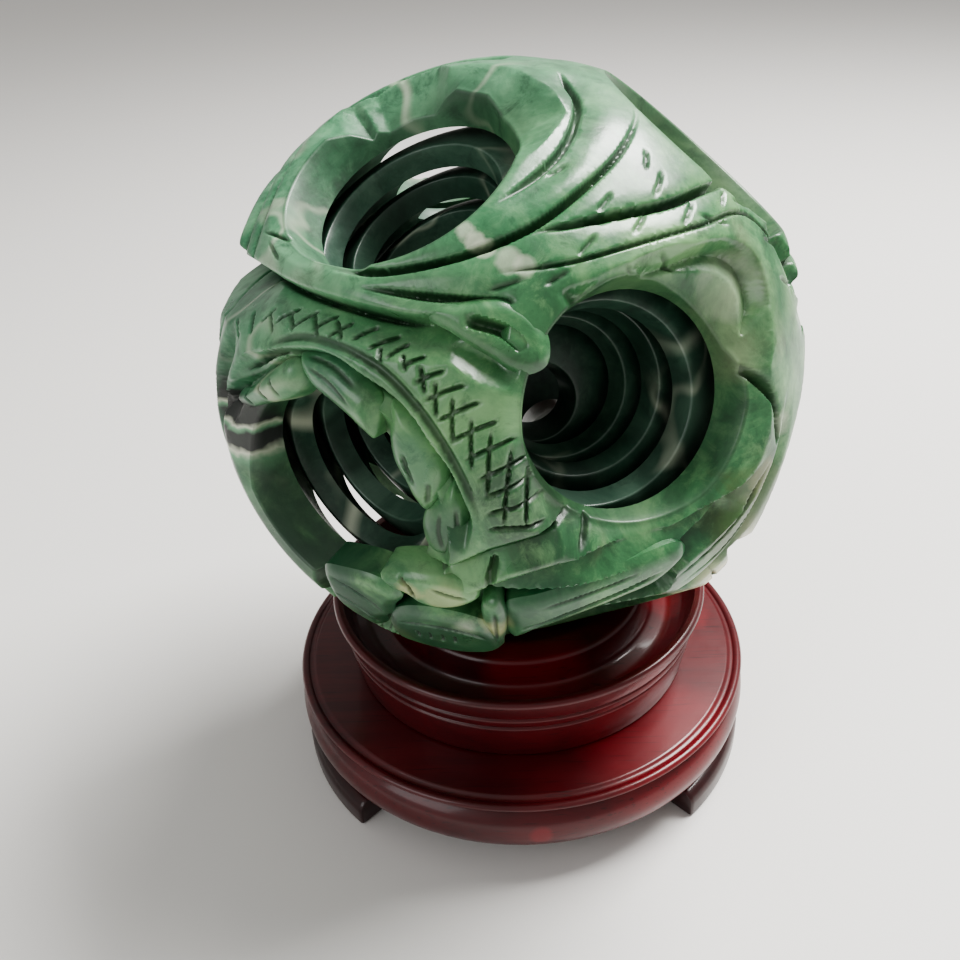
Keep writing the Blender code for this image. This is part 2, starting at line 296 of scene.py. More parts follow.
def shell_solid(outer_net, outer_radius, inner_net, inner_radius, half_angle, edge_rounding, rotation=None):
    """A closed shell: outer skin, inner skin, and window walls with rounded edges.
    outer_radius may be one radius for each outer point."""
    points, tris, rims = outer_net
    in_points, in_tris, in_rims = inner_net
    radius = np.broadcast_to(outer_radius, len(points)).astype(float).copy()
    verts = [points * radius[:, None], in_points * inner_radius]
    faces = [tris, in_tris[:, ::-1] + len(points)]
    total = len(points) + len(in_points)
    outer_rings = rim_rings(points, rims)
    inner_rings = rim_rings(in_points, in_rims)
    for window, axis in enumerate(AXES):
        ring, turn = outer_rings[window]
        low_ring, low_turn = inner_rings[window]
        across = unit(points[ring] - (points[ring] @ axis)[:, None] * axis)
        top = radius[ring]
        rim_angle = math.acos(np.clip(points[ring[0]] @ axis, -1, 1))
        sideways = rim_angle - half_angle
        rows = []
        for share in (0.35, 0.7, 1.0):
            angle = half_angle + sideways * (1 - math.sin(share * math.pi / 2))
            r = top - edge_rounding * (1 - math.cos(share * math.pi / 2))
            rows.append((angle, r))
        floor = inner_radius + edge_rounding
        for share in (0.35, 0.7):
            rows.append((half_angle, rows[2][1] * (1 - share) + floor * share))
        rows.append((half_angle, np.full(len(ring), floor)))
        previous = ring
        for angle, r in rows:
            place = (math.cos(angle) * axis + math.sin(angle) * across) * np.asarray(r)[:, None]
            numbers = total + np.arange(len(ring))
            verts.append(place)
            total += len(ring)
            nxt = np.roll(numbers, -1)
            prv = np.roll(previous, -1)
            faces.append(np.stack((previous, prv, nxt), 1))
            faces.append(np.stack((previous, nxt, numbers), 1))
            previous = numbers
        low = low_ring + len(points)
        faces.append(np.array(zip_rings(previous, turn, low, low_turn))[:, ::-1])
    verts = np.concatenate(verts)
    faces = np.concatenate(faces)
    if rotation is not None:
        verts = verts @ rotation.T
    return verts + CENTRE, faces


# ---------------------------------------------------------------- the carving

# The net's coarsest edge in millimetres, and how fast the edges grow away from a feature.
COARSEST_NET = 3.0
NET_GROWTH = 0.7


class Carving:
    """Depth in millimetres below the ball's surface, and how fine the net must be."""

    def __init__(self):
        self.features = []

    def add(self, line, reach, want, work):
        centre = unit(line.mean(axis=0))
        spread = np.arccos(np.clip((line @ centre).min(), -1, 1)) + reach / BALL_RADIUS
        self.features.append((line, centre, math.cos(min(spread, math.pi)), want, work))

    def measure(self, points):
        """The ground's depth, the cuts' depth below it, and the wanted size of the net."""
        depth = np.zeros(len(points))
        cuts = np.zeros(len(points))
        want = np.full(len(points), COARSEST_NET)
        for line, centre, limit, fine, work in self.features:
            near = np.where(points @ centre > limit)[0]
            if not len(near):
                continue
            distance, side, place = nearest_on(points[near], line)
            low, cut = work(points[near], distance, side, place)
            depth[near] = np.maximum(depth[near], low)
            cuts[near] = np.maximum(cuts[near], cut)
            size, width = fine
            want[near] = np.minimum(want[near], size + NET_GROWTH * np.maximum(0.0, distance - width))
        return depth, cuts, want


def nearest_on(points, line):
    """Distance in millimetres to a line on the sphere, the side it lies on, and the share of the way."""
    starts, ends = line[:-1], line[1:]
    steps = ends - starts
    lengths = np.linalg.norm(steps, axis=1)
    along = np.einsum("nmk,mk->nm", points[:, None, :] - starts[None], steps) / lengths ** 2
    share = np.clip(along, 0, 1)
    gap = points[:, None, :] - (starts[None] + share[:, :, None] * steps[None])
    distance = np.linalg.norm(gap, axis=2)
    best = np.argmin(distance, axis=1)
    rows = np.arange(len(points))
    normals = np.cross(starts, ends)
    side = np.sign(np.einsum("nk,nk->n", points, normals[best]))
    sums = np.concatenate([[0], np.cumsum(lengths)])
    place = (sums[best] + share[rows, best] * lengths[best]) / sums[-1]
    return distance[rows, best] * BALL_RADIUS, side, place


def fade(place, start, end):
    """1 in the middle of a stroke, falling to 0 over the first and last shares of it."""
    rise = smooth(place / start) if start > 0 else 1.0
    fall = smooth((1 - place) / end) if end > 0 else 1.0
    return rise * fall


carving = Carving()


def groove(points, depth, width, start=0.2, end=0.2, valley=0.0, valley_width=0.0, steps=5):
    """A cut groove that thins out at its ends, in the bottom of a soft valley."""
    line = through(points, steps)

    def work(p, distance, side, place):
        taper = fade(place, start, end)
        half = 0.5 * width * (0.6 + 0.4 * taper)
        cut = 1.1 * depth * taper * (1 - smooth(distance / half) ** 1.5)
        soft = 0.0
        if valley:
            soft = valley * taper * (1 - smooth(distance / valley_width))
        return soft + np.zeros(len(p)), cut

    carving.add(line, max(width, valley_width) + 1, (max(0.26 * width, 0.3), 0.65 * width), work)


def overlap(points, depth, reach, side_down=1, start=0.15, end=0.15, steps=5, curl=1.3, edge=0.8, wall=0.7):
    """One ribbon lies over another: the ground drops at the line and climbs back over the reach.
    side_down is 1 if the lower ribbon is on the line's left, seen from outside."""
    line = through(points, steps)

    def work(p, distance, side, place):
        taper = fade(place, start, end)
        low = side * side_down > 0
        span = 1 - np.clip((distance - wall) / (reach - wall), 0, 1)
        down = depth * taper * np.where(distance < wall, smooth(0.5 + 0.5 * distance / wall), span ** curl)
        up = depth * taper * 0.5 * (1 - smooth(distance / wall))
        rounding = edge * taper * (1 - np.clip(distance / 2.2, 0, 1)) ** 2
        cut = np.where(low, down, np.maximum(up, rounding))
        return cut, np.zeros(len(p))

    carving.add(line, reach + 1, (0.6, 1.2), work)


def inside(points, outline):
    """Whether each point lies in a closed outline on the sphere."""
    centre = unit(outline.mean(axis=0))
    x = unit(np.cross(centre, [0.1, 0.2, 1.0]))
    y = np.cross(centre, x)
    flat = np.stack((points @ x, points @ y), 1) / np.maximum(points @ centre, 0.05)[:, None]
    ring = np.stack((outline @ x, outline @ y), 1) / (outline @ centre)[:, None]
    hit = np.zeros(len(points), bool)
    for (ax, ay), (bx, by) in zip(ring, np.roll(ring, -1, axis=0)):
        if ay == by:
            continue
        crosses = (ay > flat[:, 1]) != (by > flat[:, 1])
        at = (bx - ax) * (flat[:, 1] - ay) / (by - ay) + ax
        hit ^= crosses & (flat[:, 0] < at)
    return hit & (points @ centre > 0.1)


def dent(points, depth, bowl, steps=5, power=2.0):
    """A closed soft hollow."""
    line = through(points, steps, closed=True)
    line = np.concatenate([line, line[:1]])

    def work(p, distance, side, place):
        within = inside(p, line[:-1])
        share = np.clip(distance / bowl, 0, 1)
        return np.where(within, depth * (1 - (1 - share) ** power), 0.0), np.zeros(len(p))

    carving.add(line, bowl + 2, (0.9, 1.6), work)


def nick(a, b, depth=0.5, width=0.9):
    middle = (0.5 * (a[0] + b[0]), 0.5 * (a[1] + b[1]))
    groove([a, middle, b], depth, width, 0.3, 0.3, steps=2)


def window_at(lon, lat):
    """The number of the window nearest a direction."""
    return int(np.argmax(AXES @ direction(lon, lat)))


def cove(window, knots):
    """The ground dips towards a window's rim. Each knot is (azimuth from north towards east,
    depth at the rim, reach beyond the rim in degrees, power of the fall)."""
    axis = AXES[window]
    lon = math.atan2(axis[0], -axis[1])
    east = np.array([math.cos(lon), math.sin(lon), 0.0])
    north = np.cross(axis, east)
    if north[2] < 0:
        north = -north
    knots = sorted(knots)
    azimuths = np.array([k[0] for k in knots], float)
    values = np.array([k[1:] for k in knots], float)
    azimuths = np.concatenate([azimuths[-1:] - 360, azimuths, azimuths[:1] + 360])
    values = np.concatenate([values[-1:], values, values[:1]])
    turn = np.radians(np.arange(0, 361, 6))
    ring = (math.cos(WINDOW) * axis + math.sin(WINDOW)
            * (np.cos(turn)[:, None] * north + np.sin(turn)[:, None] * east))

    def work(p, distance, side, place):
        azimuth = np.degrees(np.arctan2(p @ east, p @ north)) % 360
        depth, reach, power = (np.interp(azimuth, azimuths, values[:, k]) for k in range(3))
        beyond = np.degrees(np.arccos(np.clip(p @ axis, -1, 1))) - math.degrees(WINDOW)
        share = np.clip(1 - beyond / np.maximum(reach, 0.01), 0, 1)
        return depth * share ** power, np.zeros(len(p))

    carving.add(ring, 20, (1.0, 2.5), work)


TOP_LEFT = window_at(-39.5, 60.2)
RIGHT = window_at(24.1, 15.7)
LOW_LEFT = window_at(-37.1, -3.2)
LEFT = window_at(-98.9, 13.4)
FAR_RIGHT = window_at(81.1, -13.4)
BOTTOM = window_at(16.0, -47.3)
SOUTH, NORTH = -1, 1


def carve_front():
    # The ground round the windows.
    cove(TOP_LEFT, [(0, 4.5, 5, 0.9), (12, 4.0, 6, 0.9), (25, 7.5, 6, 1.0), (45, 7.0, 9, 1.0),
                    (58, 5.0, 6, 1.2), (72, 1.2, 3, 1.0), (90, 0.6, 2, 1.0), (180, 0.6, 2, 1.0),
                    (215, 1.5, 2.5, 1.0), (280, 2.0, 4, 1.0), (291, 5.0, 5, 1.0), (300, 9.0, 8, 0.8),
                    (304, 7.8, 9, 1.3), (310, 9.2, 9, 0.8), (325, 8.5, 8, 0.8), (337, 9.0, 7, 0.9),
                    (345, 6.5, 4, 1.2), (352, 4.0, 5, 1.0)])
    cove(RIGHT, [(0, 2.5, 1.5, 1.0), (12, 6.0, 3, 1.0), (30, 8.5, 6, 1.0), (46, 9.0, 11, 0.8),
                 (60, 9.0, 11, 0.8), (74, 8.5, 6, 0.9), (86, 5.5, 3, 1.0), (100, 4.0, 4, 1.0),
                 (150, 4.5, 5, 1.0), (178, 6.5, 6, 1.0), (200, 8.0, 6, 1.2), (225, 9.0, 6, 1.5),
                 (245, 6.0, 5, 1.6), (268, 2.5, 4, 1.5), (290, 1.5, 3, 1.2), (335, 0.8, 1.5, 1.0)])
    overlap([(9, 35.8), (17, 36.8), (25, 37.6), (35, 38), (45, 37.8), (51, 36.3), (55, 33.5), (56, 31),
             (55.5, 28), (54, 25), (51, 22.5), (48.5, 20), (46.5, 17)], 5.6, 12, SOUTH, 0.06, 0.1,
            curl=0.35)
    cove(LOW_LEFT, [(0, 8.0, 6, 0.5), (30, 8.5, 5, 0.5), (75, 8.5, 5.5, 0.5), (100, 8.0, 5, 0.6),
                    (120, 6.0, 5, 0.8), (150, 2.0, 4, 1.0), (200, 1.5, 3, 1.0), (255, 1.5, 3, 1.0),
                    (275, 4.0, 5, 1.0), (300, 6.0, 6, 0.8), (325, 8.0, 7, 0.6), (340, 8.0, 6, 0.6)])
    cove(FAR_RIGHT, [(0, 6.5, 11, 0.7), (25, 5.5, 9, 0.8), (60, 3.0, 6, 1.0), (180, 2.0, 5, 1.0),
                     (290, 2.0, 4, 1.0), (315, 4.0, 5, 0.8), (340, 6.5, 10, 0.7)])
    cove(BOTTOM, [(0, 4.0, 6, 1.0), (90, 3.0, 6, 1.0), (180, 2.0, 5, 1.0), (270, 4.0, 6, 1.0),
                  (330, 5.0, 6, 1.0)])
    cove(LEFT, [(0, 3.0, 6, 1.0), (120, 5.0, 7, 0.8), (240, 3.0, 5, 1.0)])

    # The smooth wing over the top: long cut lines that thin out.
    groove([(-38, 38), (-24, 39), (-9, 42), (5, 46), (18, 51), (33, 56), (50, 61), (66, 65)], 2.8, 2.1,
           0.12, 0.5, 0.6, 4)
    groove([(3, 45), (16, 46), (37, 46), (51, 46), (62, 45)], 3.0, 2.4, 0.35, 0.06, 0.5, 4)
    groove([(-5, 39), (10, 40), (23, 41), (44, 41), (58, 40), (64, 36), (66, 29), (64, 20)], 1.1, 1.4,
           0.2, 0.3)
    groove([(62, 79), (47, 74), (40, 70), (31, 66), (23, 62), (15, 58), (4, 53), (-4, 49)], 1.8, 2.3,
           0.15, 0.3, 1.2, 7)
    groove([(-30, 36), (-16, 36), (-6, 35.6), (2, 35)], 2.4, 2.2, 0.5, 0.12, 0.8, 5)
    groove([(-64, 39), (-55, 40), (-46, 40)], 0.9, 1.2, 0.3, 0.3)
    dent([(0, 68), (1, 74), (10, 80), (26, 79), (35, 74), (28, 69), (17, 64), (8, 61)], 2.2, 7)
    dent([(-60, 76), (-55, 82), (-20, 84), (-20, 79), (-38, 76)], 4.0, 4)
    overlap([(62, 57), (64, 51), (63, 45), (70, 40), (75, 33), (77, 24)], 3.5, 8, NORTH, 0.3, 0.2)

    # The wing's lower edge lies over the scaled body.
    overlap([(-108, 30), (-95, 31), (-82, 32), (-71, 33), (-62, 34), (-53, 34.3), (-45, 34.2), (-37, 34)],
            9.0, 15, SOUTH, 0.02, 0.4, curl=1.25)
    overlap([(-104, 30), (-82, 32), (-62, 33.8), (-52, 34.2), (-42, 34), (-32, 33.8), (-20, 33),
             (-12, 33), (-5, 34.5), (1, 34)], 5.4, 9, SOUTH, 0.03, 0.02, curl=1.0)
    dent([(-17, 32), (-9, 32), (-3, 31), (1, 29), (2.5, 25), (0, 22.5), (-5, 23.5), (-10, 26.5),
          (-15, 29.5)], 3.8, 5.5, power=1.3)

    # The scaled body's inner edge, and the groove beside it.
    overlap([(-68, 4), (-62, 11), (-55, 16), (-49, 20), (-43, 23), (-37, 25), (-31, 25), (-25, 23),
             (-20, 21), (-16, 18), (-13, 14), (-10, 10), (-8, 5), (-7, 1), (-8, -5)], 5.4, 8, SOUTH, 0.08,
            0.08, curl=0.5)
    groove([(-50, 22), (-40, 26.5), (-31, 27), (-22, 25), (-15, 20), (-10, 13.5), (-6.5, 6), (-5, -1)],
           1.0, 2.6, 0.2, 0.2)
    overlap([(-14, -10), (-9, -7), (-4, -4), (2, -2), (8, 0), (12, 0)], 4.4, 7, SOUTH, 0.08, 0.25,
            curl=0.9)

    # Thin crevices under the edges.
    groove([(-66, 33), (-55, 33.6), (-44, 33.4), (-32, 33), (-20, 32.2), (-12, 32)], 2.2, 1.7, 0.15, 0.3)
    groove([(-19, -12), (-14, -10.6), (-9, -7.8), (-4, -4.8), (2, -2.8), (8, -0.8), (12, -0.4)], 2.6, 1.8,
           0.2, 0.3)
    groove([(-58, 15), (-50, 20.5), (-43, 23.6), (-37, 24.6), (-31, 24.6), (-25, 22.6), (-20.4, 20.4),
            (-16.6, 17.6), (-13.6, 13.6), (-10.6, 9.6), (-8.6, 4.6), (-7.6, 0.8)], 1.6, 1.5, 0.15, 0.15)
    dent([(66, 33), (72, 35), (80, 30), (78, 21), (71, 19), (66, 24)], 6.0, 4.0)

    # Bands under the right window and round the bottom.
    overlap([(-17, -17), (-10, -16), (-4, -12), (3, -9), (9, -7.5), (15, -7), (20, -7), (28, -7),
             (35, -5), (42, -3), (48, 1)], 4.8, 7, SOUTH, 0.08, 0.2, curl=0.8)
    overlap([(22, -18), (25, -14), (30, -10), (36, -7), (43, -3)], 6.0, 6, SOUTH, 0.15, 0.3, curl=0.7)
    overlap([(26, -25), (35, -23), (43, -16), (48, -8), (52, 0), (54, 10)], 3.0, 5, SOUTH, 0.15, 0.25)
    groove([(28, -19), (36, -14), (44, -8), (50, 0)], 0.8, 1.2, 0.3, 0.4)
    groove([(31, -21), (40, -16), (47, -8), (52, 2)], 0.7, 1.1, 0.3, 0.4)
    groove([(46, 18), (47.5, 15), (49, 12), (50.5, 8), (51, 4), (51, 0)], 3.4, 2.8, 0.3, 0.3, 0.6, 4)
    groove([(-5, -12.5), (-4, -9), (-3, -6)], 2.0, 2.6, 0.3, 0.3)
    groove([(10, -6.5), (12, -4), (13, -1)], 1.8, 2.4, 0.3, 0.3)
    groove([(24, -6.5), (24, -4), (24, -1.5)], 1.8, 2.0, 0.3, 0.2)

    # The ground sinks under the loose lobes that hang round the bottom.
    dent([(-43, -18), (-34, -15), (-24, -14.5), (-14, -13), (-4, -14), (8, -13), (20, -12), (28, -14),
          (28, -22), (12, -26), (4, -34), (-6, -42), (-24, -44), (-38, -38), (-45, -28)], 6.0, 3.0)
    groove([(-46, -14), (-44, -22), (-46, -32), (-52, -42)], 3.0, 5.0, 0.2, 0.1)
    for step in range(4):
        nick((-49 + 4 * step, 16 + 1.3 * step), (-45.5 + 4 * step, 12.5 + 1.3 * step), 0.6, 1.2)


def carve_scales():
    """Two crossing families of short cuts along the scaled body."""
    across = [((-61, 24), (-57, 21.5)), ((-52, 26), (-49, 29.5)), ((-47, 27), (-43, 31)),
              ((-42, 27.5), (-38.5, 31.5)), ((-37.5, 28), (-33.5, 31.7)), ((-33.5, 27.5), (-29.5, 31)),
              ((-28.5, 28), (-24, 31)), ((-25, 27), (-19, 30)), ((-21, 26), (-17, 29)),
              ((-18, 25), (-13.5, 27.2)), ((-15.5, 23), (-10, 25.4)), ((-13.8, 20.6), (-6.4, 23.4)),
              ((-11.8, 17.6), (-4, 21)), ((-9.8, 14.6), (-1.4, 18.2)), ((-7.6, 11.8), (1.2, 15.4)),
              ((-5.6, 8.8), (3, 12)), ((-4.8, 5.9), (4.2, 8.6)), ((-4.6, 3.1), (5.4, 4.8)),
              ((-4.6, 0.4), (5.4, 0.4))]
    along = [((-57, 27), (-53, 23.5)), ((-51, 28.5), (-46.5, 25.5)), ((-45.5, 30), (-41, 27)),
             ((-40, 31), (-35, 27.2)), ((-34, 31), (-30, 27.6)), ((-22.5, 28), (-21.5, 25.4)),
             ((-18, 27.4), (-17, 24.6)), ((-14.5, 26), (-13.5, 21.5)), ((-11.8, 24), (-11.6, 18)),
             ((-9, 22), (-9, 14)), ((-6, 19), (-6.2, 10)), ((-3, 17), (-4, 5.5)), ((0, 14.5), (-1.8, 0)),
             ((2.6, 11), (1.6, 0.2))]
    for a, b in across + along:
        middle = (0.5 * (a[0] + b[0]) - 0.15, 0.5 * (a[1] + b[1]) + 0.25)
        groove([a, middle, b], 0.95, 1.25, 0.2, 0.2, steps=3)


def carve_nicks():
    """Single feather strokes cut into the smooth wing."""
    for a, b in (((15, 41.5), (18, 43.2)), ((28, 43.4), (31, 45)), ((41, 42.6), (45, 44.4)),
                 ((55, 42.5), (58, 43.5)), ((47, 41.8), (51, 39.8)), ((33, 38.6), (36, 37)),
                 ((24, 38), (26.5, 36.4)), ((61, 41.5), (64, 39.5)), ((13, 55.2), (17, 56.2)),
                 ((40, 53), (43, 55)), ((22, 48), (25, 49.4)), ((-57, 38), (-53, 37)),
                 ((38, 48.5), (42, 50.5)), ((64, 33), (67, 31)), ((63, 26), (66, 24)),
                 ((8, 37.5), (11, 38.6)), ((-2, 37.2), (2, 38))):
        a, b = np.array(a) * 1.5 - np.array(b) * 0.5, np.array(b) * 1.5 - np.array(a) * 0.5
        nick(tuple(a), tuple(b), 0.6, 1.5)


# Depths in millimetres the carving never passes, so that the wall stays whole.
DEEPEST_GROUND = 9.2
DEEPEST_CUT = 10.3

# The side with the main carving faces this way.
FRONT = unit(np.array([0.0, -0.9, 0.437]))
# Below this share of FRONT a point lies on the far side, where the net may be coarser.
FAR_SIDE = -0.3
# Pairs of neighbouring windows.
BRIDGES = [(a, b) for a in range(12) for b in range(a + 1, 12) if AXES[a] @ AXES[b] > 0.3]
# The same motif is carved on the far side, half a turn about an axis that maps the windows onto themselves.
half_turn_axis = min((unit(AXES[a] + AXES[b]) for a, b in BRIDGES), key=lambda v: abs(v @ FRONT))
HALF_TURN = 2 * np.outer(half_turn_axis, half_turn_axis) - np.eye(3)


def lon_lat(point):
    x, y, z = unit(point)
    return math.degrees(math.atan2(x, -y)), math.degrees(math.asin(z))


def carve_sides():
    """Ribbons over each bridge between two windows beside the front, and scales where three meet."""
    for number, (a, b) in enumerate(BRIDGES):
        middle = unit(AXES[a] + AXES[b])
        if abs(middle @ FRONT) > 0.42 or middle[0] < -0.25:
            continue
        ends = [unit(AXES[a] + AXES[b] + AXES[c]) for c in range(12) if (min(a, c), max(a, c)) in BRIDGES
                and (min(b, c), max(b, c)) in BRIDGES]
        across = unit(AXES[a] - AXES[b])
        if across[2] < 0:
            across = -across

        def course(shift, bow):
            first, last = ends
            return [lon_lat(p) for p in (first + (shift - bow) * across,
                                         0.5 * (first + middle) + shift * across,
                                         middle + (shift + bow) * across,
                                         0.5 * (middle + last) + shift * across,
                                         last + (shift - bow) * across)]

        overlap(course(0.02, 0.03), 4.2, 8, (-1) ** number, 0.12, 0.25, curl=0.9)
        groove(course(0.085, 0.02), 1.4, 1.7, 0.25, 0.4, 0.8, 3.5)
        groove(course(-0.055, 0.03), 1.1, 1.5, 0.35, 0.3)
        for end in ends:
            if abs(end @ FRONT) > 0.35 or end[2] > 0.7 or (HALF_TURN @ end)[2] > 0.7:
                continue
            along = unit(np.cross(end, across))
            for step in range(-2, 3):
                for lean in (1, -1):
                    foot = end + 0.042 * step * along
                    nick(lon_lat(foot - 0.05 * (across + lean * 0.5 * along)),
                         lon_lat(foot + 0.05 * (across + lean * 0.5 * along)), 0.7, 1.1)


carve_front()
carve_scales()
carve_nicks()
carve_sides()


def ground(points):
    """Depth of the carving, depth of its cuts alone, and the wanted net size at unit vectors."""
    depth, cuts, want = carving.measure(points)
    back_depth, back_cuts, back_want = carving.measure(points @ HALF_TURN)
    cuts = np.maximum(cuts, back_cuts)
    depth = np.minimum(np.maximum(depth, back_depth), DEEPEST_GROUND) + cuts
    coarser = np.where(points @ FRONT < FAR_SIDE, 1.6, 1.0)
    return np.minimum(depth, DEEPEST_CUT), cuts, np.minimum(want, back_want * 1.5) * coarser


# The net is halved where the ground bends by more than this, down to the shortest edge, or to the
# shortest one in a cut. Cuts ask for a net finer than CUT_NET. All are in millimetres.
MOST_BEND = 0.05
SHORTEST_EDGE = 0.42
SHORTEST_IN_CUT = 0.36
CUT_NET = 0.8


def carved_net(count, rim_angle, rounds, most_triangles):
    """A pierced net, halved again and again where the carving needs it."""
    points, tris, rims = sphere_net(count, rim_angle)
    for _ in range(rounds):
        heights = ground(points)[0]
        edges, uses, tri_edges = edges_of(tris)
        ends = points[edges]
        middle = unit(ends.sum(axis=1))
        length = np.linalg.norm(ends[:, 0] - ends[:, 1], axis=1) * BALL_RADIUS
        depth, _, want = ground(middle)
        coarser = np.where(middle @ FRONT < FAR_SIDE, 2.0, 1.0)
        bend = np.abs(depth - heights[edges].mean(axis=1)) / (MOST_BEND * coarser)
        need = np.where(length > SHORTEST_EDGE * coarser,
                        np.maximum(bend, np.where(want < 1.5, length / want, 0)), 0)
        in_cut = (length > SHORTEST_IN_CUT) & (length > want) & (want < CUT_NET)
        need = np.where(in_cut, np.maximum(need, length / want), need)
        marked = need > 1
        room = max((most_triangles - len(tris)) // 2, 0)
        if marked.sum() > room:
            marked = need >= max(np.sort(need)[-room - 1], 1)
        if not marked.any():
            break
        points, tris, rims = split_marked(points, tris, rims, marked, edges, uses, tri_edges, rim_angle)
    return points, tris, rims


# ---------------------------------------------------------------- materials

# A colour is (red, green, blue), and a grey may be given as one number.

def feed(tree, socket, value):
    """Links an output to a socket, or sets the socket to a number, a vector or a colour."""
    if isinstance(value, bpy.types.NodeSocket):
        tree.links.new(value, socket)
    elif socket.type == "RGBA":
        socket.default_value = rgba(value)
    else:
        socket.default_value = value


def rgba(colour):
    return (*colour, 1.0) if isinstance(colour, tuple) else (colour, colour, colour, 1.0)


def new_material(name):
    """A material, its node tree and its main shader."""
    mat = bpy.data.materials.new(name)
    mat.use_nodes = True
    return mat, mat.node_tree, mat.node_tree.nodes["Principled BSDF"]


def dress(tree, made, inputs):
    for name, value in inputs.items():
        feed(tree, made.inputs[name], value)


def node(tree, kind, inputs=None, **settings):
    made = tree.nodes.new(kind)
    for key, value in settings.items():
        setattr(made, key, value)
    dress(tree, made, inputs or {})
    return made


def ramp(tree, factor, *stops):
    """Colours that follow a factor, from (position, colour) stops."""
    made = tree.nodes.new("ShaderNodeValToRGB")
    elements = made.color_ramp.elements
    while len(elements) < len(stops):
        elements.new(0.5)
    for element, (position, colour) in zip(elements, stops):
        element.position = position
        element.color = rgba(colour)
    tree.links.new(factor, made.inputs["Fac"])
    return made.outputs["Color"]


def mix(tree, factor, one, two, blend="MIX"):
    made = node(tree, "ShaderNodeMix", data_type="RGBA", blend_type=blend)
    for name, kind, value in (("Factor", "VALUE", factor), ("A", "RGBA", one), ("B", "RGBA", two)):
        feed(tree, [s for s in made.inputs if s.name == name and s.type == kind][0], value)
    return [s for s in made.outputs if s.type == "RGBA"][0]


def times(tree, one, two):
    return mix(tree, 1.0, one, two, "MULTIPLY")


def maths(tree, operation, a, b=0.5):
    return node(tree, "ShaderNodeMath", {0: a, 1: b}, operation=operation).outputs[0]


def noise(tree, vector, scale, detail=3.0, roughness=0.55, distortion=0.0):
    inputs = {"Vector": vector, "Scale": scale, "Detail": detail, "Roughness": roughness,
              "Distortion": distortion}
    return node(tree, "ShaderNodeTexNoise", inputs).outputs["Fac"]


def swing(tree, vector, amount, *settings):
    """A noise that swings to both sides of zero."""
    return maths(tree, "MULTIPLY", maths(tree, "SUBTRACT", noise(tree, vector, *settings), 0.5), amount)


def object_place(tree):
    return node(tree, "ShaderNodeTexCoord").outputs["Object"]


def height_of(tree, place):
    return node(tree, "ShaderNodeSeparateXYZ", {"Vector": place}).outputs["Z"]


def stretched(tree, place, scale):
    return node(tree, "ShaderNodeMapping", {"Vector": place, "Scale": scale}).outputs["Vector"]


def relief(tree, shader, *layers):
    """Fine bumps from (height, strength, distance in metres) layers, each laid over the one before."""
    inputs = {}
    for height, strength, distance in layers:
        inputs.update({"Height": height, "Strength": strength, "Distance": distance})
        inputs["Normal"] = node(tree, "ShaderNodeBump", inputs).outputs["Normal"]
    feed(tree, shader.inputs["Normal"], inputs["Normal"])


def blotch(tree, place, centre, size, ragged=0.9):
    """One inside a ragged ball about a point (millimetres) of an object, zero outside."""
    away = node(tree, "ShaderNodeVectorMath", {0: place, 1: tuple(v / 1000 for v in centre)},
                operation="DISTANCE").outputs["Value"]
    share = maths(tree, "ADD", maths(tree, "MULTIPLY", away, 1000 / size),
                  swing(tree, place, 2 * ragged, 75.0, 5.0, 0.6, 0.4))
    return ramp(tree, share, (0.62, 1), (1.0, 0))


def on_ball(lon, lat, radius=73.0):
    return tuple(CENTRE + radius * direction(lon, lat))


def veined(tree, place, colour, veins):
    """Veins lie where a warped noise crosses its middle value, and only in some regions.
    Each is (scale, width, where a region starts, where it is full, amount, colour)."""
    for scale, width, start, full, amount, vein in veins:
        line = maths(tree, "ABSOLUTE", maths(tree, "SUBTRACT", noise(tree, place, scale, 3.0, 0.45, 0.25),
                                             0.5))
        line = ramp(tree, line, (width * 0.3, 1), (width * 2.2, 0))
        where = ramp(tree, noise(tree, place, scale * 0.55, 1.0, 0.5), (start, 0), (full, amount))
        colour = mix(tree, times(tree, line, where), colour, vein)
    return colour


def browned(tree, place, patch, colour, tint):
    """The stone turns browner towards the lower right."""
    side = node(tree, "ShaderNodeVectorMath", {0: place, 1: (0.62, -0.25, -0.74)},
                operation="DOT_PRODUCT").outputs["Value"]
    level = maths(tree, "ADD", side, maths(tree, "MULTIPLY", patch, 0.035))
    where = ramp(tree, maths(tree, "MULTIPLY_ADD", level, 8.0), (0.46, 0), (0.72, 0.7))
    return mix(tree, where, colour, times(tree, colour, tint))


def paint_stains_and_shade(tree, body, place, colour):
    """Stains, patches of painted shade, and layers of black and white stone across the left wall of the
    lower window.
    """
    # Each patch is a stain, or painted shade where its colour is dark green or olive.
    for lon, lat, radius, size, patch_colour, amount in STAINS_AND_PAINTED_SHADE:
        where = blotch(tree, body, on_ball(lon, lat, radius), size)
        colour = mix(tree, times(tree, where, amount), colour, patch_colour)
    height = maths(tree, "ADD", height_of(tree, body), swing(tree, place, 0.016, 55.0, 4.0, 0.55))
    level = maths(tree, "MULTIPLY", maths(tree, "SUBTRACT", height, 0.110), 1 / 0.026)
    layers = ramp(tree, level, (0.0, DARK_GREEN), (0.14, PALE_GREEN), (0.20, MILK), (0.26, BLACK_STONE),
                  (0.44, BLACK_STONE), (0.50, PALE_GREEN), (0.54, MILK), (0.60, BLACK_STONE),
                  (0.84, BLACK_STONE), (0.95, MID_GREEN))
    return mix(tree, blotch(tree, body, on_ball(-64, 4, 70.0), 15.0, 0.45), colour, layers)


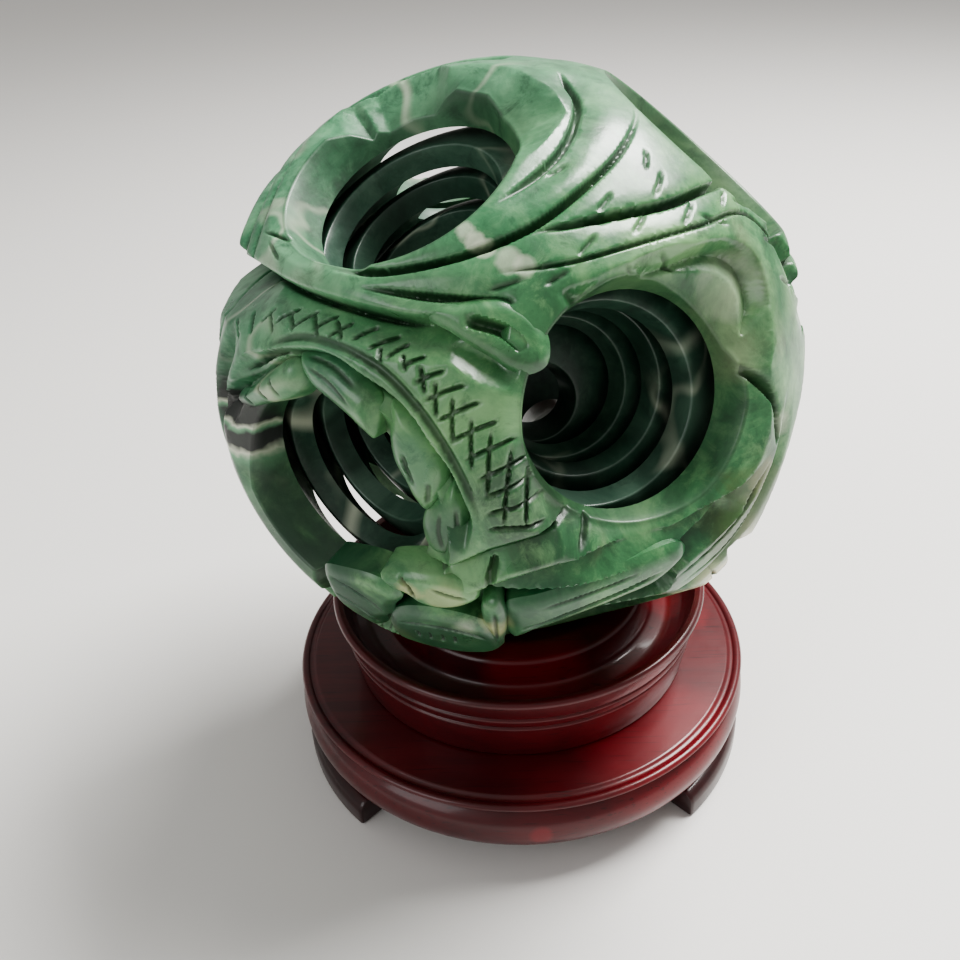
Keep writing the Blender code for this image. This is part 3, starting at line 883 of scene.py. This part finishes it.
def jade(name, dark, middle, light, vein_amount, roughness, coat, shift, glow, tint=None):
    """Mottled stone: cloudy greens, pale and dark veins and a waxy polish. A tint makes it the carved
    stone, with its stains, its patches of painted shade, and painted shade in its cut lines, hollows and
    window walls."""
    mat, tree, shader = new_material(name)
    body = object_place(tree)
    place = node(tree, "ShaderNodeVectorMath", {0: body, 1: shift}, operation="ADD").outputs[0]
    cloud = noise(tree, place, 30.0, 6.0, 0.66, 0.9)
    colour = ramp(tree, cloud, (0.34, dark), (0.50, middle), (0.66, light))
    patch = noise(tree, place, 11.0, 2.0, 0.5, 0.4)
    colour = mix(tree, ramp(tree, patch, (0.42, 0), (0.68, 1)), colour, mix(tree, 0.5, colour, light))
    fleck = noise(tree, place, 150.0, 5.0, 0.72, 0.5)
    colour = mix(tree, ramp(tree, fleck, (0.50, 0), (0.70, 0.62)), colour, light)
    colour = mix(tree, ramp(tree, fleck, (0.28, 0.75), (0.46, 0)), colour, dark)
    colour = veined(tree, place, colour, ((9.0, 0.009, 0.50, 0.60, vein_amount, MILK),
                                          (23.0, 0.008, 0.50, 0.62, 0.6 * vein_amount, MILK),
                                          (14.0, 0.014, 0.48, 0.60, 0.75, dark)))
    polish = ramp(tree, noise(tree, place, 60.0, 4.0, 0.6), (0.3, roughness - 0.08),
                  (0.7, roughness + 0.12))
    if tint:
        colour = paint_stains_and_shade(tree, body, place, browned(tree, place, patch, colour, tint))
        # Painted shade: the 'carving' attribute darkens the stone in its cut lines, deep hollows and window
        # walls.
        cut = node(tree, "ShaderNodeAttribute", attribute_name="carving").outputs["Fac"]
        colour = mix(tree, ramp(tree, cut, (0.02, 0), (0.75, 0.82)), colour,
                     times(tree, colour, (0.20, 0.27, 0.21)))
        polish = mix(tree, ramp(tree, cut, (0.0, 0), (0.5, 1)), polish, 0.5)
    dress(tree, shader, {"Base Color": colour, "Roughness": polish, "IOR": 1.6, "Coat Weight": coat,
                         "Coat Roughness": 0.16, "Coat IOR": 1.5, "Subsurface Weight": glow,
                         "Subsurface Radius": (0.5, 1.0, 0.6), "Subsurface Scale": 0.0018})
    relief(tree, shader, (noise(tree, place, 120.0, 3.0, 0.5), 0.35, 0.0006),
           (noise(tree, place, 700.0, 4.0, 0.65), 0.30, 0.00012))
    return mat


BLACK_STONE = (0.006, 0.012, 0.008)
CREAM = (0.52, 0.50, 0.26)
OLIVE = (0.060, 0.095, 0.022)
TEAL = (0.030, 0.130, 0.080)
DARK_GREEN = (0.010, 0.066, 0.028)
MID_GREEN = (0.042, 0.182, 0.084)
PALE_GREEN = (0.165, 0.370, 0.205)
MILK = (0.62, 0.66, 0.52)
# (longitude, latitude, radius, size in millimetres, colour, amount) of each patch: the milk, cream, black
# and teal ones are stains in the stone; the dark green and olive ones are painted shade in hollows, on a
# window wall and over the lower half of the ball.
STAINS_AND_PAINTED_SHADE = [(-8, 46, 74, 2.4, MILK, 0.5), (-6, 44.6, 74, 2.2, MILK, 0.6), (-4, 43.2, 74, 2.4, MILK, 0.5),
          (0.5, 41.2, 74, 3.0, MILK, 0.42), (3.5, 40.2, 74, 2.4, MILK, 0.4),
          (50, 30, 70, 9.0, MILK, 0.25), (48, -4, 74, 5.0, CREAM, 0.45), (53, 4, 74, 5.0, MILK, 0.45),
          (-42, 62, 72, 5.0, MILK, 0.25), (-19, -14, 74, 3.6, CREAM, 0.55),
          (-12, -15, 74, 5.0, CREAM, 0.35), (-4, -24, 74, 5.0, CREAM, 0.55),
          (-26, -33, 74, 4.0, CREAM, 0.45), (-10, -25, 74, 4.0, MILK, 0.35),
          (-70, -8, 74, 6.0, MILK, 0.6), (-74, 6, 74, 5.0, BLACK_STONE, 0.9),
          (-40, -20, 73, 17.0, DARK_GREEN, 0.75), (-33, -12, 70, 12.0, DARK_GREEN, 0.7),
          (20, -24, 72, 9.0, DARK_GREEN, 0.7), (-28, -26, 74, 15.0, DARK_GREEN, 0.82),
          (-12, -33, 74, 15.0, DARK_GREEN, 0.8), (4, -20, 74, 14.0, DARK_GREEN, 0.6),
          (-62, -22, 73, 20.0, DARK_GREEN, 0.7), (30, -12, 71, 7.0, DARK_GREEN, 0.6),
          (-12, -4, 72, 6.0, DARK_GREEN, 0.45), (46, -10, 74, 15.0, OLIVE, 0.6),
          (60, 20, 70, 14.0, DARK_GREEN, 0.35), (-12, -1, 73, 8.0, DARK_GREEN, 0.5),
          (-17, 9, 73, 8.0, TEAL, 0.5), (-33, 22, 73, 7.0, TEAL, 0.35),
          (38, 74, 70, 9.0, DARK_GREEN, 0.4), (-38, 78, 70, 10.0, DARK_GREEN, 0.5)]
carved_jade = jade("carved_jade", DARK_GREEN, MID_GREEN, PALE_GREEN, 0.85, 0.33, 0.22, (0.31, 0.17, 0.05),
                   0.12, (1.16, 0.94, 0.68))
# The inner shells get a darker copy of the jade: painted shade for the shells inside the ball.
shade_darkened_shell_jades = {}
for number, shell in enumerate(SHELLS):
    shade_darkened_shell_jades[shell] = jade(f"{shell}_jade", (0.012, 0.034, 0.022), (0.030, 0.078, 0.050),
                              (0.08, 0.15, 0.105), 0.8, 0.38, 0.15,
                              (0.11 + 0.2 * number, 0.4 - 0.13 * number, 0.7), 0.05)


def varnished_wood():
    """Dark red-brown varnish over a fine grain, with brighter red pools of painted light and painted shade
    on its lowest parts.
    """
    mat, tree, shader = new_material("mahogany_varnish")
    place = object_place(tree)
    grain = noise(tree, stretched(tree, place, (12.0, 260.0, 260.0)), 1.0, 5.0, 0.65, 0.5)
    patch = noise(tree, place, 22.0, 3.0, 0.5, 0.4)
    colour = ramp(tree, patch, (0.32, (0.038, 0.0020, 0.0036)), (0.70, (0.092, 0.0044, 0.0070)))
    colour = mix(tree, ramp(tree, grain, (0.40, 0), (0.72, 0.35)), colour, (0.130, 0.0066, 0.0090))
    # Painted light: brighter red pools on the plate top, inside the cup's right wall and on the dish under
    # the ball, and a small brighter red mark on the plate's front edge.
    for centre, size, amount in (((38.0, -46.0, 27.3), 26.0, 0.16), ((46.0, 10.0, 44.0), 24.0, 0.35),
                                 ((4.0, -68.0, 17.0), 3.4, 0.22), ((4.0, -36.0, 48.5), 16.0, 0.22)):
        red_patch = blotch(tree, place, centre, size, 0.35)
        colour = mix(tree, times(tree, red_patch, amount), colour, (0.42, 0.008, 0.018))
    # Painted shade: the colour darkens below about 10 mm, over the feet and the plate's lowest edge.
    low = ramp(tree, maths(tree, "MULTIPLY", height_of(tree, place), 40.0), (0.28, 0.35), (0.40, 1))
    colour = times(tree, colour, low)
    pores = noise(tree, stretched(tree, place, (60.0, 1500.0, 1500.0)), 1.0, 2.0, 0.5)
    colour = mix(tree, ramp(tree, pores, (0.30, 0.5), (0.40, 0)), colour, (0.014, 0.002, 0.003))
    polish = ramp(tree, noise(tree, place, 70.0, 4.0, 0.65), (0.3, 0.32), (0.7, 0.46))
    dress(tree, shader, {"Base Color": colour, "Roughness": polish, "Specular IOR Level": 0.35,
                         "Coat Weight": 0.40, "Coat Roughness": 0.13, "Coat IOR": 1.5})
    relief(tree, shader, (noise(tree, place, 320.0, 2.0, 0.5), 0.10, 0.0002), (grain, 0.10, 0.0002))
    return mat


def bare_wood():
    mat, tree, shader = new_material("beech_dowel")
    grain = noise(tree, stretched(tree, object_place(tree), (900.0, 900.0, 60.0)), 1.0, 4.0, 0.6)
    dress(tree, shader, {"Base Color": ramp(tree, grain, (0.35, (0.30, 0.17, 0.08)),
                                            (0.7, (0.52, 0.34, 0.19))), "Roughness": 0.62})
    relief(tree, shader, (grain, 0.3, 0.0002))
    return mat


def zinc_steel():
    mat, tree, shader = new_material("zinc_steel")
    marks = noise(tree, stretched(tree, object_place(tree), (400.0, 400.0, 2400.0)), 1.0, 4.0, 0.6)
    dress(tree, shader, {"Base Color": ramp(tree, marks, (0.3, (0.42, 0.42, 0.44)),
                                            (0.7, (0.62, 0.62, 0.63))),
                         "Roughness": ramp(tree, marks, (0.3, 0.24), (0.7, 0.42)), "Metallic": 1.0})
    return mat


mahogany = varnished_wood()
beech = bare_wood()
steel = zinc_steel()


# ---------------------------------------------------------------- the ball

RIM_ROUNDING = 0.8
RIM_ANGLE = WINDOW + RIM_ROUNDING / BALL_RADIUS
# Steps of the nets between two window centres, and the limits of the carved net's refinement.
NET_STEPS = 48
INNER_STEPS = 32
NET_ROUNDS = 4
MOST_TRIANGLES = 146000


def build_outer_shell():
    net = carved_net(NET_STEPS, RIM_ANGLE, NET_ROUNDS, MOST_TRIANGLES)
    points = net[0]
    depth, cuts, _ = ground(points)
    inner = sphere_net(INNER_STEPS, WINDOW)
    verts, faces = shell_solid(net, BALL_RADIUS - depth, inner, OUTER_INSIDE, WINDOW, RIM_ROUNDING)
    # Painted shade: darker in the cut lines and deep hollows, and half dark on the inside face and the
    # window walls.
    painted_shade = np.zeros(len(verts))
    painted_shade[:len(points)] = np.clip(cuts / 0.9 + 0.5 * smooth((depth - 3.0) / 5.5), 0, 1)
    painted_shade[len(points):] = 0.5
    return add_mesh("carved_shell", verts, faces, carved_jade, "outer_shell", ["outer_shell"],
                    58.0, painted_shade)


PLATE_STEP = 0.4  # spacing of the net of a leaf, in millimetres


def plate(name, middle, edge, width, under, outline, cuts=()):
    """A leaf or tongue of stone that lies on the ball: a closed pillow inside a smooth outline.
    middle, edge and under are radii in millimetres, width is how far in from its edge it is full."""
    ring = through(outline, 8, closed=True)
    centre = unit(ring.mean(axis=0))
    x = unit(np.cross([0.0, 0.0, 1.0], centre))
    y = np.cross(centre, x)

    def flatten(p):
        return np.stack((p @ x, p @ y), 1) / (p @ centre)[:, None] * BALL_RADIUS

    def lift(flat):
        return unit(centre + (flat[:, :1] * x + flat[:, 1:] * y) / BALL_RADIUS)

    flat = flatten(ring)
    steps = np.linalg.norm(np.roll(flat, -1, axis=0) - flat, axis=1)
    sums = np.concatenate([[0], np.cumsum(steps)])
    wanted = np.linspace(0, sums[-1], max(int(sums[-1] / PLATE_STEP), 24), endpoint=False)
    loop = np.concatenate([flat, flat[:1]])
    border = np.stack([np.interp(wanted, sums, loop[:, k]) for k in (0, 1)], 1)

    def from_edge(p):
        a, b = border, np.roll(border, -1, axis=0)
        run = b - a
        share = np.clip(((p[:, None] - a) * run).sum(2) / (run ** 2).sum(1), 0, 1)
        return np.linalg.norm(p[:, None] - a - share[..., None] * run, axis=2).min(axis=1)

    low, high = border.min(axis=0), border.max(axis=0)
    inner = []
    for row in range(int((high[1] - low[1]) / PLATE_STEP) + 1):
        for column in range(int((high[0] - low[0]) / PLATE_STEP) + 1):
            inner.append((low[0] + PLATE_STEP * (column + 0.5 * (row % 2)), low[1] + PLATE_STEP * row))
    inner = np.array(inner)
    inner = inner[inside(lift(inner), lift(border))]
    inner = inner[from_edge(inner) > 0.6 * PLATE_STEP]
    points = np.concatenate([border, inner])
    count = len(border)
    made = delaunay_2d_cdt([Vector(p) for p in points], [(k, (k + 1) % count) for k in range(count)], [],
                           1, 1e-5)
    flat = np.array(made[0])
    faces = np.array([f for f in made[2] if len(f) == 3])
    edge_distance = from_edge(flat)
    rise = 1 - (1 - np.clip(edge_distance / width, 0, 1)) ** 2
    radius = edge + (middle - edge) * rise
    rays = lift(flat)
    # Painted shade: the stone is darkened along each cut.
    painted_shade = np.zeros(len(flat))
    for line, depth, cut_width in cuts:
        distance, _, place = nearest_on(rays, through(line, 4))
        cut = np.clip(1 - (2 * distance / cut_width) ** 2, 0, None) ** 0.8 * fade(place, 0.25, 0.25)
        radius = radius - depth * cut * np.clip(edge_distance / 0.8, 0, 1)
        painted_shade = np.maximum(painted_shade, cut)
    top = rays * radius[:, None]
    bottom = rays * under
    corner = flat[faces]
    turn = ((corner[:, 1, 0] - corner[:, 0, 0]) * (corner[:, 2, 1] - corner[:, 0, 1])
            - (corner[:, 1, 1] - corner[:, 0, 1]) * (corner[:, 2, 0] - corner[:, 0, 0]))
    faces[turn < 0] = faces[turn < 0][:, ::-1]
    edges, uses, _ = edges_of(faces)
    rim = set(map(tuple, edges[uses == 1]))
    total = len(flat)
    sides = []
    for a, b in np.concatenate([faces[:, [0, 1]], faces[:, [1, 2]], faces[:, [2, 0]]]):
        if (min(a, b), max(a, b)) in rim:
            sides += [(a, a + total, b + total), (a, b + total, b)]
    all_faces = np.concatenate([faces, faces[:, ::-1] + total, np.array(sides)])
    verts = np.concatenate([top, bottom]) + CENTRE
    return add_mesh(name, verts, all_faces, carved_jade, "outer_shell", ["outer_shell"], 40.0,
                   np.concatenate([painted_shade, np.zeros(total)]))


def build_tongues():
    """Loose leaves and lobes over the carved ground, each an outline of (longitude, latitude)."""
    plate("leaf_1", 73.6, 70.5, 5, 64.5,
          [(-41, 24.5), (-37, 25.5), (-31, 25), (-26, 23), (-22.5, 20.5), (-22.3, 17), (-23.5, 13),
           (-26, 14), (-29, 15.8), (-33, 17.6), (-37.5, 19.2), (-40.5, 21.5)],
          cuts=[([(-39, 24), (-32, 23.4), (-26, 20.5)], 0.5, 1.2),
                ([(-38, 22.5), (-32, 21), (-27, 17.5)], 0.4, 1.0)])
    plate("leaf_2", 73.0, 70.0, 4.5, 64.5,
          [(-20.5, 20), (-21, 15), (-20.3, 10), (-18.2, 6), (-16.8, 3), (-14.8, 1), (-12.3, 3.5),
           (-10.8, 6.5), (-10.3, 10), (-12.3, 15), (-15.5, 18.3)],
          cuts=[([(-18, 12), (-17.2, 9), (-16, 6)], 1.0, 1.6),
                ([(-13.5, 7.5), (-13.8, 5), (-14.3, 2.8)], 0.6, 1.3)])
    plate("leaf_3", 72.6, 69.5, 4.5, 64.5,
          [(-11, 6.5), (-13.5, 3.5), (-15.3, 0.5), (-16, -3), (-15.3, -7), (-12.5, -8.5), (-10, -7),
           (-7.6, -3), (-6.8, 0.5), (-7.2, 4), (-9.2, 7)],
          cuts=[([(-12, 2), (-12.5, -2), (-12, -6)], 0.5, 1.2),
                ([(-9.4, 3), (-9.4, -1), (-9.9, -4)], 0.5, 1.1)])
    plate("leaf_4", 73.0, 70.5, 4, 66.0,
          [(-61, 11), (-56, 13.5), (-49, 19), (-43, 23), (-40, 21), (-41, 17), (-46, 14), (-52, 11.5),
           (-59, 8)],
          cuts=[([(-57, 12.5), (-55, 10)], 0.6, 1.2), ([(-52, 16), (-49, 13)], 0.6, 1.2),
                ([(-48, 18), (-45, 15)], 0.6, 1.2)])
    plate("scroll", 75.2, 73.4, 3.0, 66.5,
          [(-13, 35), (-8, 35.5), (-4, 36), (0, 35.8), (4, 34), (6.5, 31), (7, 28), (6, 25.5), (3, 24.5),
           (0, 25.3), (-2.5, 27), (-6, 28.8), (-10, 31), (-14, 32.8)],
          cuts=[([(-8, 32.6), (-4.5, 32), (-1, 31), (1.6, 29.2), (2.6, 27.6)], 2.8, 2.8)])

    # Lobes that hang round the bottom of the ball.
    plate("lobe_1", 75.2, 73.2, 3.6, 66.0,
          [(-38.5, -17), (-33, -15), (-27, -14.3), (-22.5, -16), (-21.5, -19), (-24, -22.5),
           (-25.6, -26.5), (-29, -30), (-33, -36.5), (-38, -35.5), (-42.5, -30), (-40.5, -22)],
          cuts=[([(-37, -18), (-32, -19), (-28, -22), (-27, -26)], 0.8, 1.3),
                ([(-39.5, -24), (-35, -25), (-32, -29), (-32.5, -34)], 0.8, 1.3)])
    plate("lobe_2", 75.2, 73.4, 3.4, 66.0,
          [(-25.5, -25), (-21, -21.6), (-15.5, -20.6), (-10, -21.6), (-5.6, -24.5), (-3.4, -30),
           (-4, -37), (-10, -41), (-20, -42.5), (-31, -41), (-30, -34), (-27.5, -29)],
          cuts=[([(-21 + 2.7 * k, -28.6), (-21.2 + 2.7 * k, -30.6), (-21.8 + 2.7 * k, -33)], 0.7, 0.9)
                for k in range(4)] + [([(-25, -27), (-18, -25.4), (-11, -26.4), (-6, -29.5)], 0.8, 1.2)])
    plate("lobe_3", 75.5, 73.8, 2.2, 66.0,
          [(-6.2, -17.2), (-3.4, -15.8), (-2.0, -19.5), (-2.2, -25), (-3.2, -31.5), (-4.6, -32.5),
           (-5.8, -28), (-6.6, -22)],
          cuts=[([(-4.2, -18), (-4.2, -24), (-4.4, -30)], 0.5, 1.0)])
    plate("lobe_4", 75.4, 73.4, 2.8, 66.0,
          [(-24.5, -13.2), (-21, -11.4), (-15.5, -10.4), (-10, -11.4), (-7, -13.6), (-6.8, -16),
           (-10, -18.4), (-14, -19.4), (-18, -18.6), (-20, -16.6), (-22.5, -15.6)],
          cuts=[([(-20.5, -11.6), (-18.6, -13.5), (-18, -17)], 1.2, 1.2),
                ([(-15, -13), (-11, -14.5), (-8, -15)], 0.6, 1.1)])
    plate("lobe_5", 75.0, 73.0, 4.0, 66.0,
          [(-2, -17.6), (4, -15.6), (12, -12.8), (20, -10.4), (28, -9.6), (31, -13), (26, -18.2),
           (19, -20.3), (12, -22.8), (5, -26.4), (-1.4, -30.4), (-2.2, -24)],
          cuts=[([(0, -25.5), (8, -21), (16, -17.6), (27, -14)], 0.9, 1.2),
                ([(3, -18.8), (12, -15.6), (22, -12.6)], 0.5, 1.0)])


def build_inner_shells():
    for shell, (outside, inside_radius, rest) in SHELLS.items():
        angle = CORE_WINDOW if shell == "core_ball" else WINDOW
        rounding = 0.45  # of the window edges, in millimetres
        outer = sphere_net(40, angle + rounding / outside)
        inner = sphere_net(INNER_STEPS, angle)
        verts, faces = shell_solid(outer, outside, inner, inside_radius, angle, rounding, turned(rest))
        add_mesh(f"{shell}_turned", verts, faces, shade_darkened_shell_jades[shell], shell, [shell], 50.0)


build_outer_shell()
build_tongues()
build_inner_shells()


# ---------------------------------------------------------------- the stand

def arc(centre, radius, start, end, steps):
    """(radius, height) points along an arc of a profile, angles in degrees from outwards."""
    angles = [math.radians(start + (end - start) * k / steps) for k in range(steps + 1)]
    return [(centre[0] + radius * math.cos(a), centre[1] + radius * math.sin(a)) for a in angles]


def rounded(points, radius, steps=3):
    """A profile with its inner corners rounded off."""
    out = [points[0]]
    for before, corner, after in zip(points, points[1:], points[2:]):
        p, c, q = (np.array(v, float) for v in (before, corner, after))
        lp, lq = np.linalg.norm(p - c), np.linalg.norm(q - c)
        r = min(radius, 0.45 * lp, 0.45 * lq)
        a, b = c + (p - c) / lp * r, c + (q - c) / lq * r
        for k in range(steps + 1):
            t = k / steps
            out.append(tuple((1 - t) ** 2 * a + 2 * t * (1 - t) * c + t ** 2 * b))
    out.append(points[-1])
    return out


def turned_piece(name, profile, node_name, segments=180):
    """A closed profile of (radius, height) points from the axis round to the axis, turned about Z."""
    verts, faces, rows = [], [], []
    for radius, height in profile:
        if radius < 1e-6:
            rows.append([len(verts)] * segments)
            verts.append((0.0, 0.0, height))
            continue
        rows.append(list(range(len(verts), len(verts) + segments)))
        for k in range(segments):
            a = 2 * math.pi * k / segments
            verts.append((radius * math.cos(a), radius * math.sin(a), height))
    for upper, lower in zip(rows, rows[1:]):
        for k in range(segments):
            n = (k + 1) % segments
            face = []
            for v in (upper[k], lower[k], lower[n], upper[n]):
                if v not in face:
                    face.append(v)
            faces.append(face)
    return add_mesh(name, verts, faces, mahogany, "stand", [node_name], 48.0)


plate_low, plate_high = box_mm("base_plate")
cup_low, cup_high = box_mm("cup")
foot_high = box_mm("foot_1")[1][2]


def build_plate():
    radius = plate_high[0]
    top, bottom = plate_high[2], plate_low[2]
    groove_radius = radius - 3.9
    side = 0.5 * (top - bottom - 2.4)
    profile = [(0.0, top), (groove_radius - 1.1, top), (groove_radius - 0.5, top - 0.5),
               (groove_radius, top - 0.75)]
    profile += arc((groove_radius + 1.9, top - 1.5), 1.35, 150, 5, 8)
    profile += arc((radius - side, bottom + side), side, 60, -84, 22)
    profile += [(radius - side - 1.0, bottom), (0.0, bottom)]
    turned_piece("plate_turned", rounded(profile, 0.35, 2), "base_plate")


def build_cup():
    top, bottom = cup_high[2], cup_low[2]
    rim, mouth, foot, seat = 54.8, 52.1, 50.0, 37.5
    reach = BALL_RADIUS + 0.4
    seat_top = top - 1.2
    dish = math.sqrt(reach ** 2 - (CENTRE[2] - seat_top) ** 2)
    profile = [(dish * k / 12,
                CENTRE[2] - math.sqrt(reach ** 2 - (dish * k / 12) ** 2)) for k in range(13)]
    profile += [(seat - 0.9, seat_top), (seat, seat_top - 0.9), (seat + 1.6, top - 8.5),
                (0.5 * (seat + mouth), top - 10.5), (mouth - 2.6, top - 7.5), (mouth - 0.8, top - 3.0),
                (mouth, top - 0.5)]
    profile = rounded(profile, 1.6, 4)
    profile += arc((rim - 1.35, top - 1.35), 1.35, 92, -10, 8)
    lean = (rim - foot) / (top - bottom)
    for drop in (7.5, 11.1):
        radius = rim - lean * drop - 0.4
        profile += rounded([(radius + 0.15, top - drop + 1.0), (radius - 0.05, top - drop + 0.45),
                            (radius - 0.75, top - drop), (radius - 0.05, top - drop - 0.45),
                            (radius - 0.1, top - drop - 1.0)], 0.3, 2)
    profile += rounded([(foot + 1.5, bottom + 8.0), (foot + 0.6, bottom + 4.0), (foot, bottom + 0.4),
                        (foot - 0.5, bottom)], 0.8)
    profile += [(0.0, bottom)]
    turned_piece("cup_turned", profile, "cup")


def build_foot(number, middle):
    """A curved block with a rounded shoulder, its edges eased."""
    outer, inner, height = 67.7, 50.0, foot_high
    shoulder = 0.5 * height
    outline = rounded([(inner + 0.75, 0.5 * height), (inner, height), (outer - shoulder, height)],
                      0.5)[:-1]
    outline += arc((outer - shoulder, shoulder), shoulder, 90, 4, 12)
    outline += rounded([(outer, 0.3 * height), (outer, 0.0), (inner + 1.5, 0.0),
                        (inner + 0.75, 0.5 * height)], 0.6)[:-1]
    outline = np.array(outline)
    core = outline.mean(axis=0)
    half = math.radians(16.5)
    rows = []
    ease = 0.6
    easing = [(-half, ease), (-half + 0.2 * ease / outer, 0.45 * ease), (-half + ease / outer, 0.0)]
    steady = [(half * k / 14, 0.0) for k in range(-13, 14)]
    for turn, inset in easing + steady + [(-turn, inset) for turn, inset in reversed(easing)]:
        away = outline - core
        ring = outline - away / np.linalg.norm(away, axis=1)[:, None] * inset
        ring[:, 1] = np.clip(ring[:, 1], 0.0, height)
        a = math.radians(middle) + turn
        rows.append(np.stack((ring[:, 0] * math.cos(a), ring[:, 0] * math.sin(a), ring[:, 1]), 1))
    count = len(outline)
    faces = [list(range(count)), [len(rows) * count - 1 - k for k in range(count)]]
    for row in range(len(rows) - 1):
        for k in range(count):
            n = (k + 1) % count
            faces.append((row * count + k, (row + 1) * count + k, (row + 1) * count + n, row * count + n))
    mesh = add_mesh(f"foot_{number}_shaped", np.concatenate(rows), faces, mahogany, "stand",
                    [f"foot_{number}"], 40.0)
    mesh.data.flip_normals()


def paint_hardware():
    """The dowels and the screw keep their CAD shapes."""
    for name, cad in nodes.items():
        made_of = beech if "dowel" in name else steel if name == "cup_screw" else None
        if made_of:
            cad.data.materials.clear()
            cad.data.materials.append(made_of)


build_plate()
build_cup()
for foot_number, foot_middle in ((1, -30.0), (2, 90.0), (3, 210.0)):
    build_foot(foot_number, foot_middle)
paint_hardware()


# ---------------------------------------------------------------- floor, light and camera

def build_floor():
    bpy.ops.mesh.primitive_plane_add(size=6.0, location=(0, 0, -0.0002))
    floor = bpy.context.object
    floor.name = "floor"
    mat, tree, shader = new_material("pale_floor")
    dress(tree, shader, {"Base Color": (0.74, 0.73, 0.71), "Roughness": 0.55})
    floor.data.materials.append(mat)


def area_light(name, place, target, size, power, colour=(1, 1, 1)):
    data = bpy.data.lights.new(name, "AREA")
    data.shape = "RECTANGLE"
    data.size, data.size_y = size
    data.energy = power
    data.color = colour
    light = bpy.data.objects.new(name, data)
    light.location = place
    light.rotation_euler = (Vector(target) - Vector(place)).to_track_quat("-Z", "Y").to_euler()
    bpy.context.scene.collection.objects.link(light)


def build_lights():
    area_light("window_light", (0.50, 0.28, 0.95), (0, 0, 0.11), (0.60, 0.50), 25.0, (1.0, 0.99, 0.97))
    area_light("soft_left", (-1.0, -0.9, 0.8), (0, 0, 0.1), (0.8, 0.8), 5.5, (0.97, 0.98, 1.0))
    world = bpy.data.worlds.new("studio")
    world.use_nodes = True
    tree = world.node_tree
    dress(tree, tree.nodes["Background"], {"Color": (0.92, 0.90, 0.87), "Strength": 0.50})
    bpy.context.scene.world = world


def build_camera():
    """The photo's viewing angle: 32 degrees down, from 2 degrees right of the front, rolled a little."""
    data = bpy.data.cameras.new("camera")
    data.lens = 37.5
    data.sensor_width = 36.0
    data.clip_start, data.clip_end = 0.01, 20.0
    camera = bpy.data.objects.new("camera", data)
    right = Vector((0.99876, 0.00832, -0.04916))
    up = Vector((0.03707, 0.53549, 0.84373))
    back = Vector((0.03335, -0.84450, 0.53451))
    turn = Matrix((right, up, back)).transposed().to_4x4()
    camera.matrix_world = Matrix.Translation((0.0, -0.2374, 0.2343)) @ turn
    bpy.context.scene.collection.objects.link(camera)
    bpy.context.scene.camera = camera


build_floor()
build_lights()
build_camera()
bpy.context.scene.view_settings.view_transform = "AgX"
bpy.context.scene.view_settings.look = "AgX - Medium High Contrast"
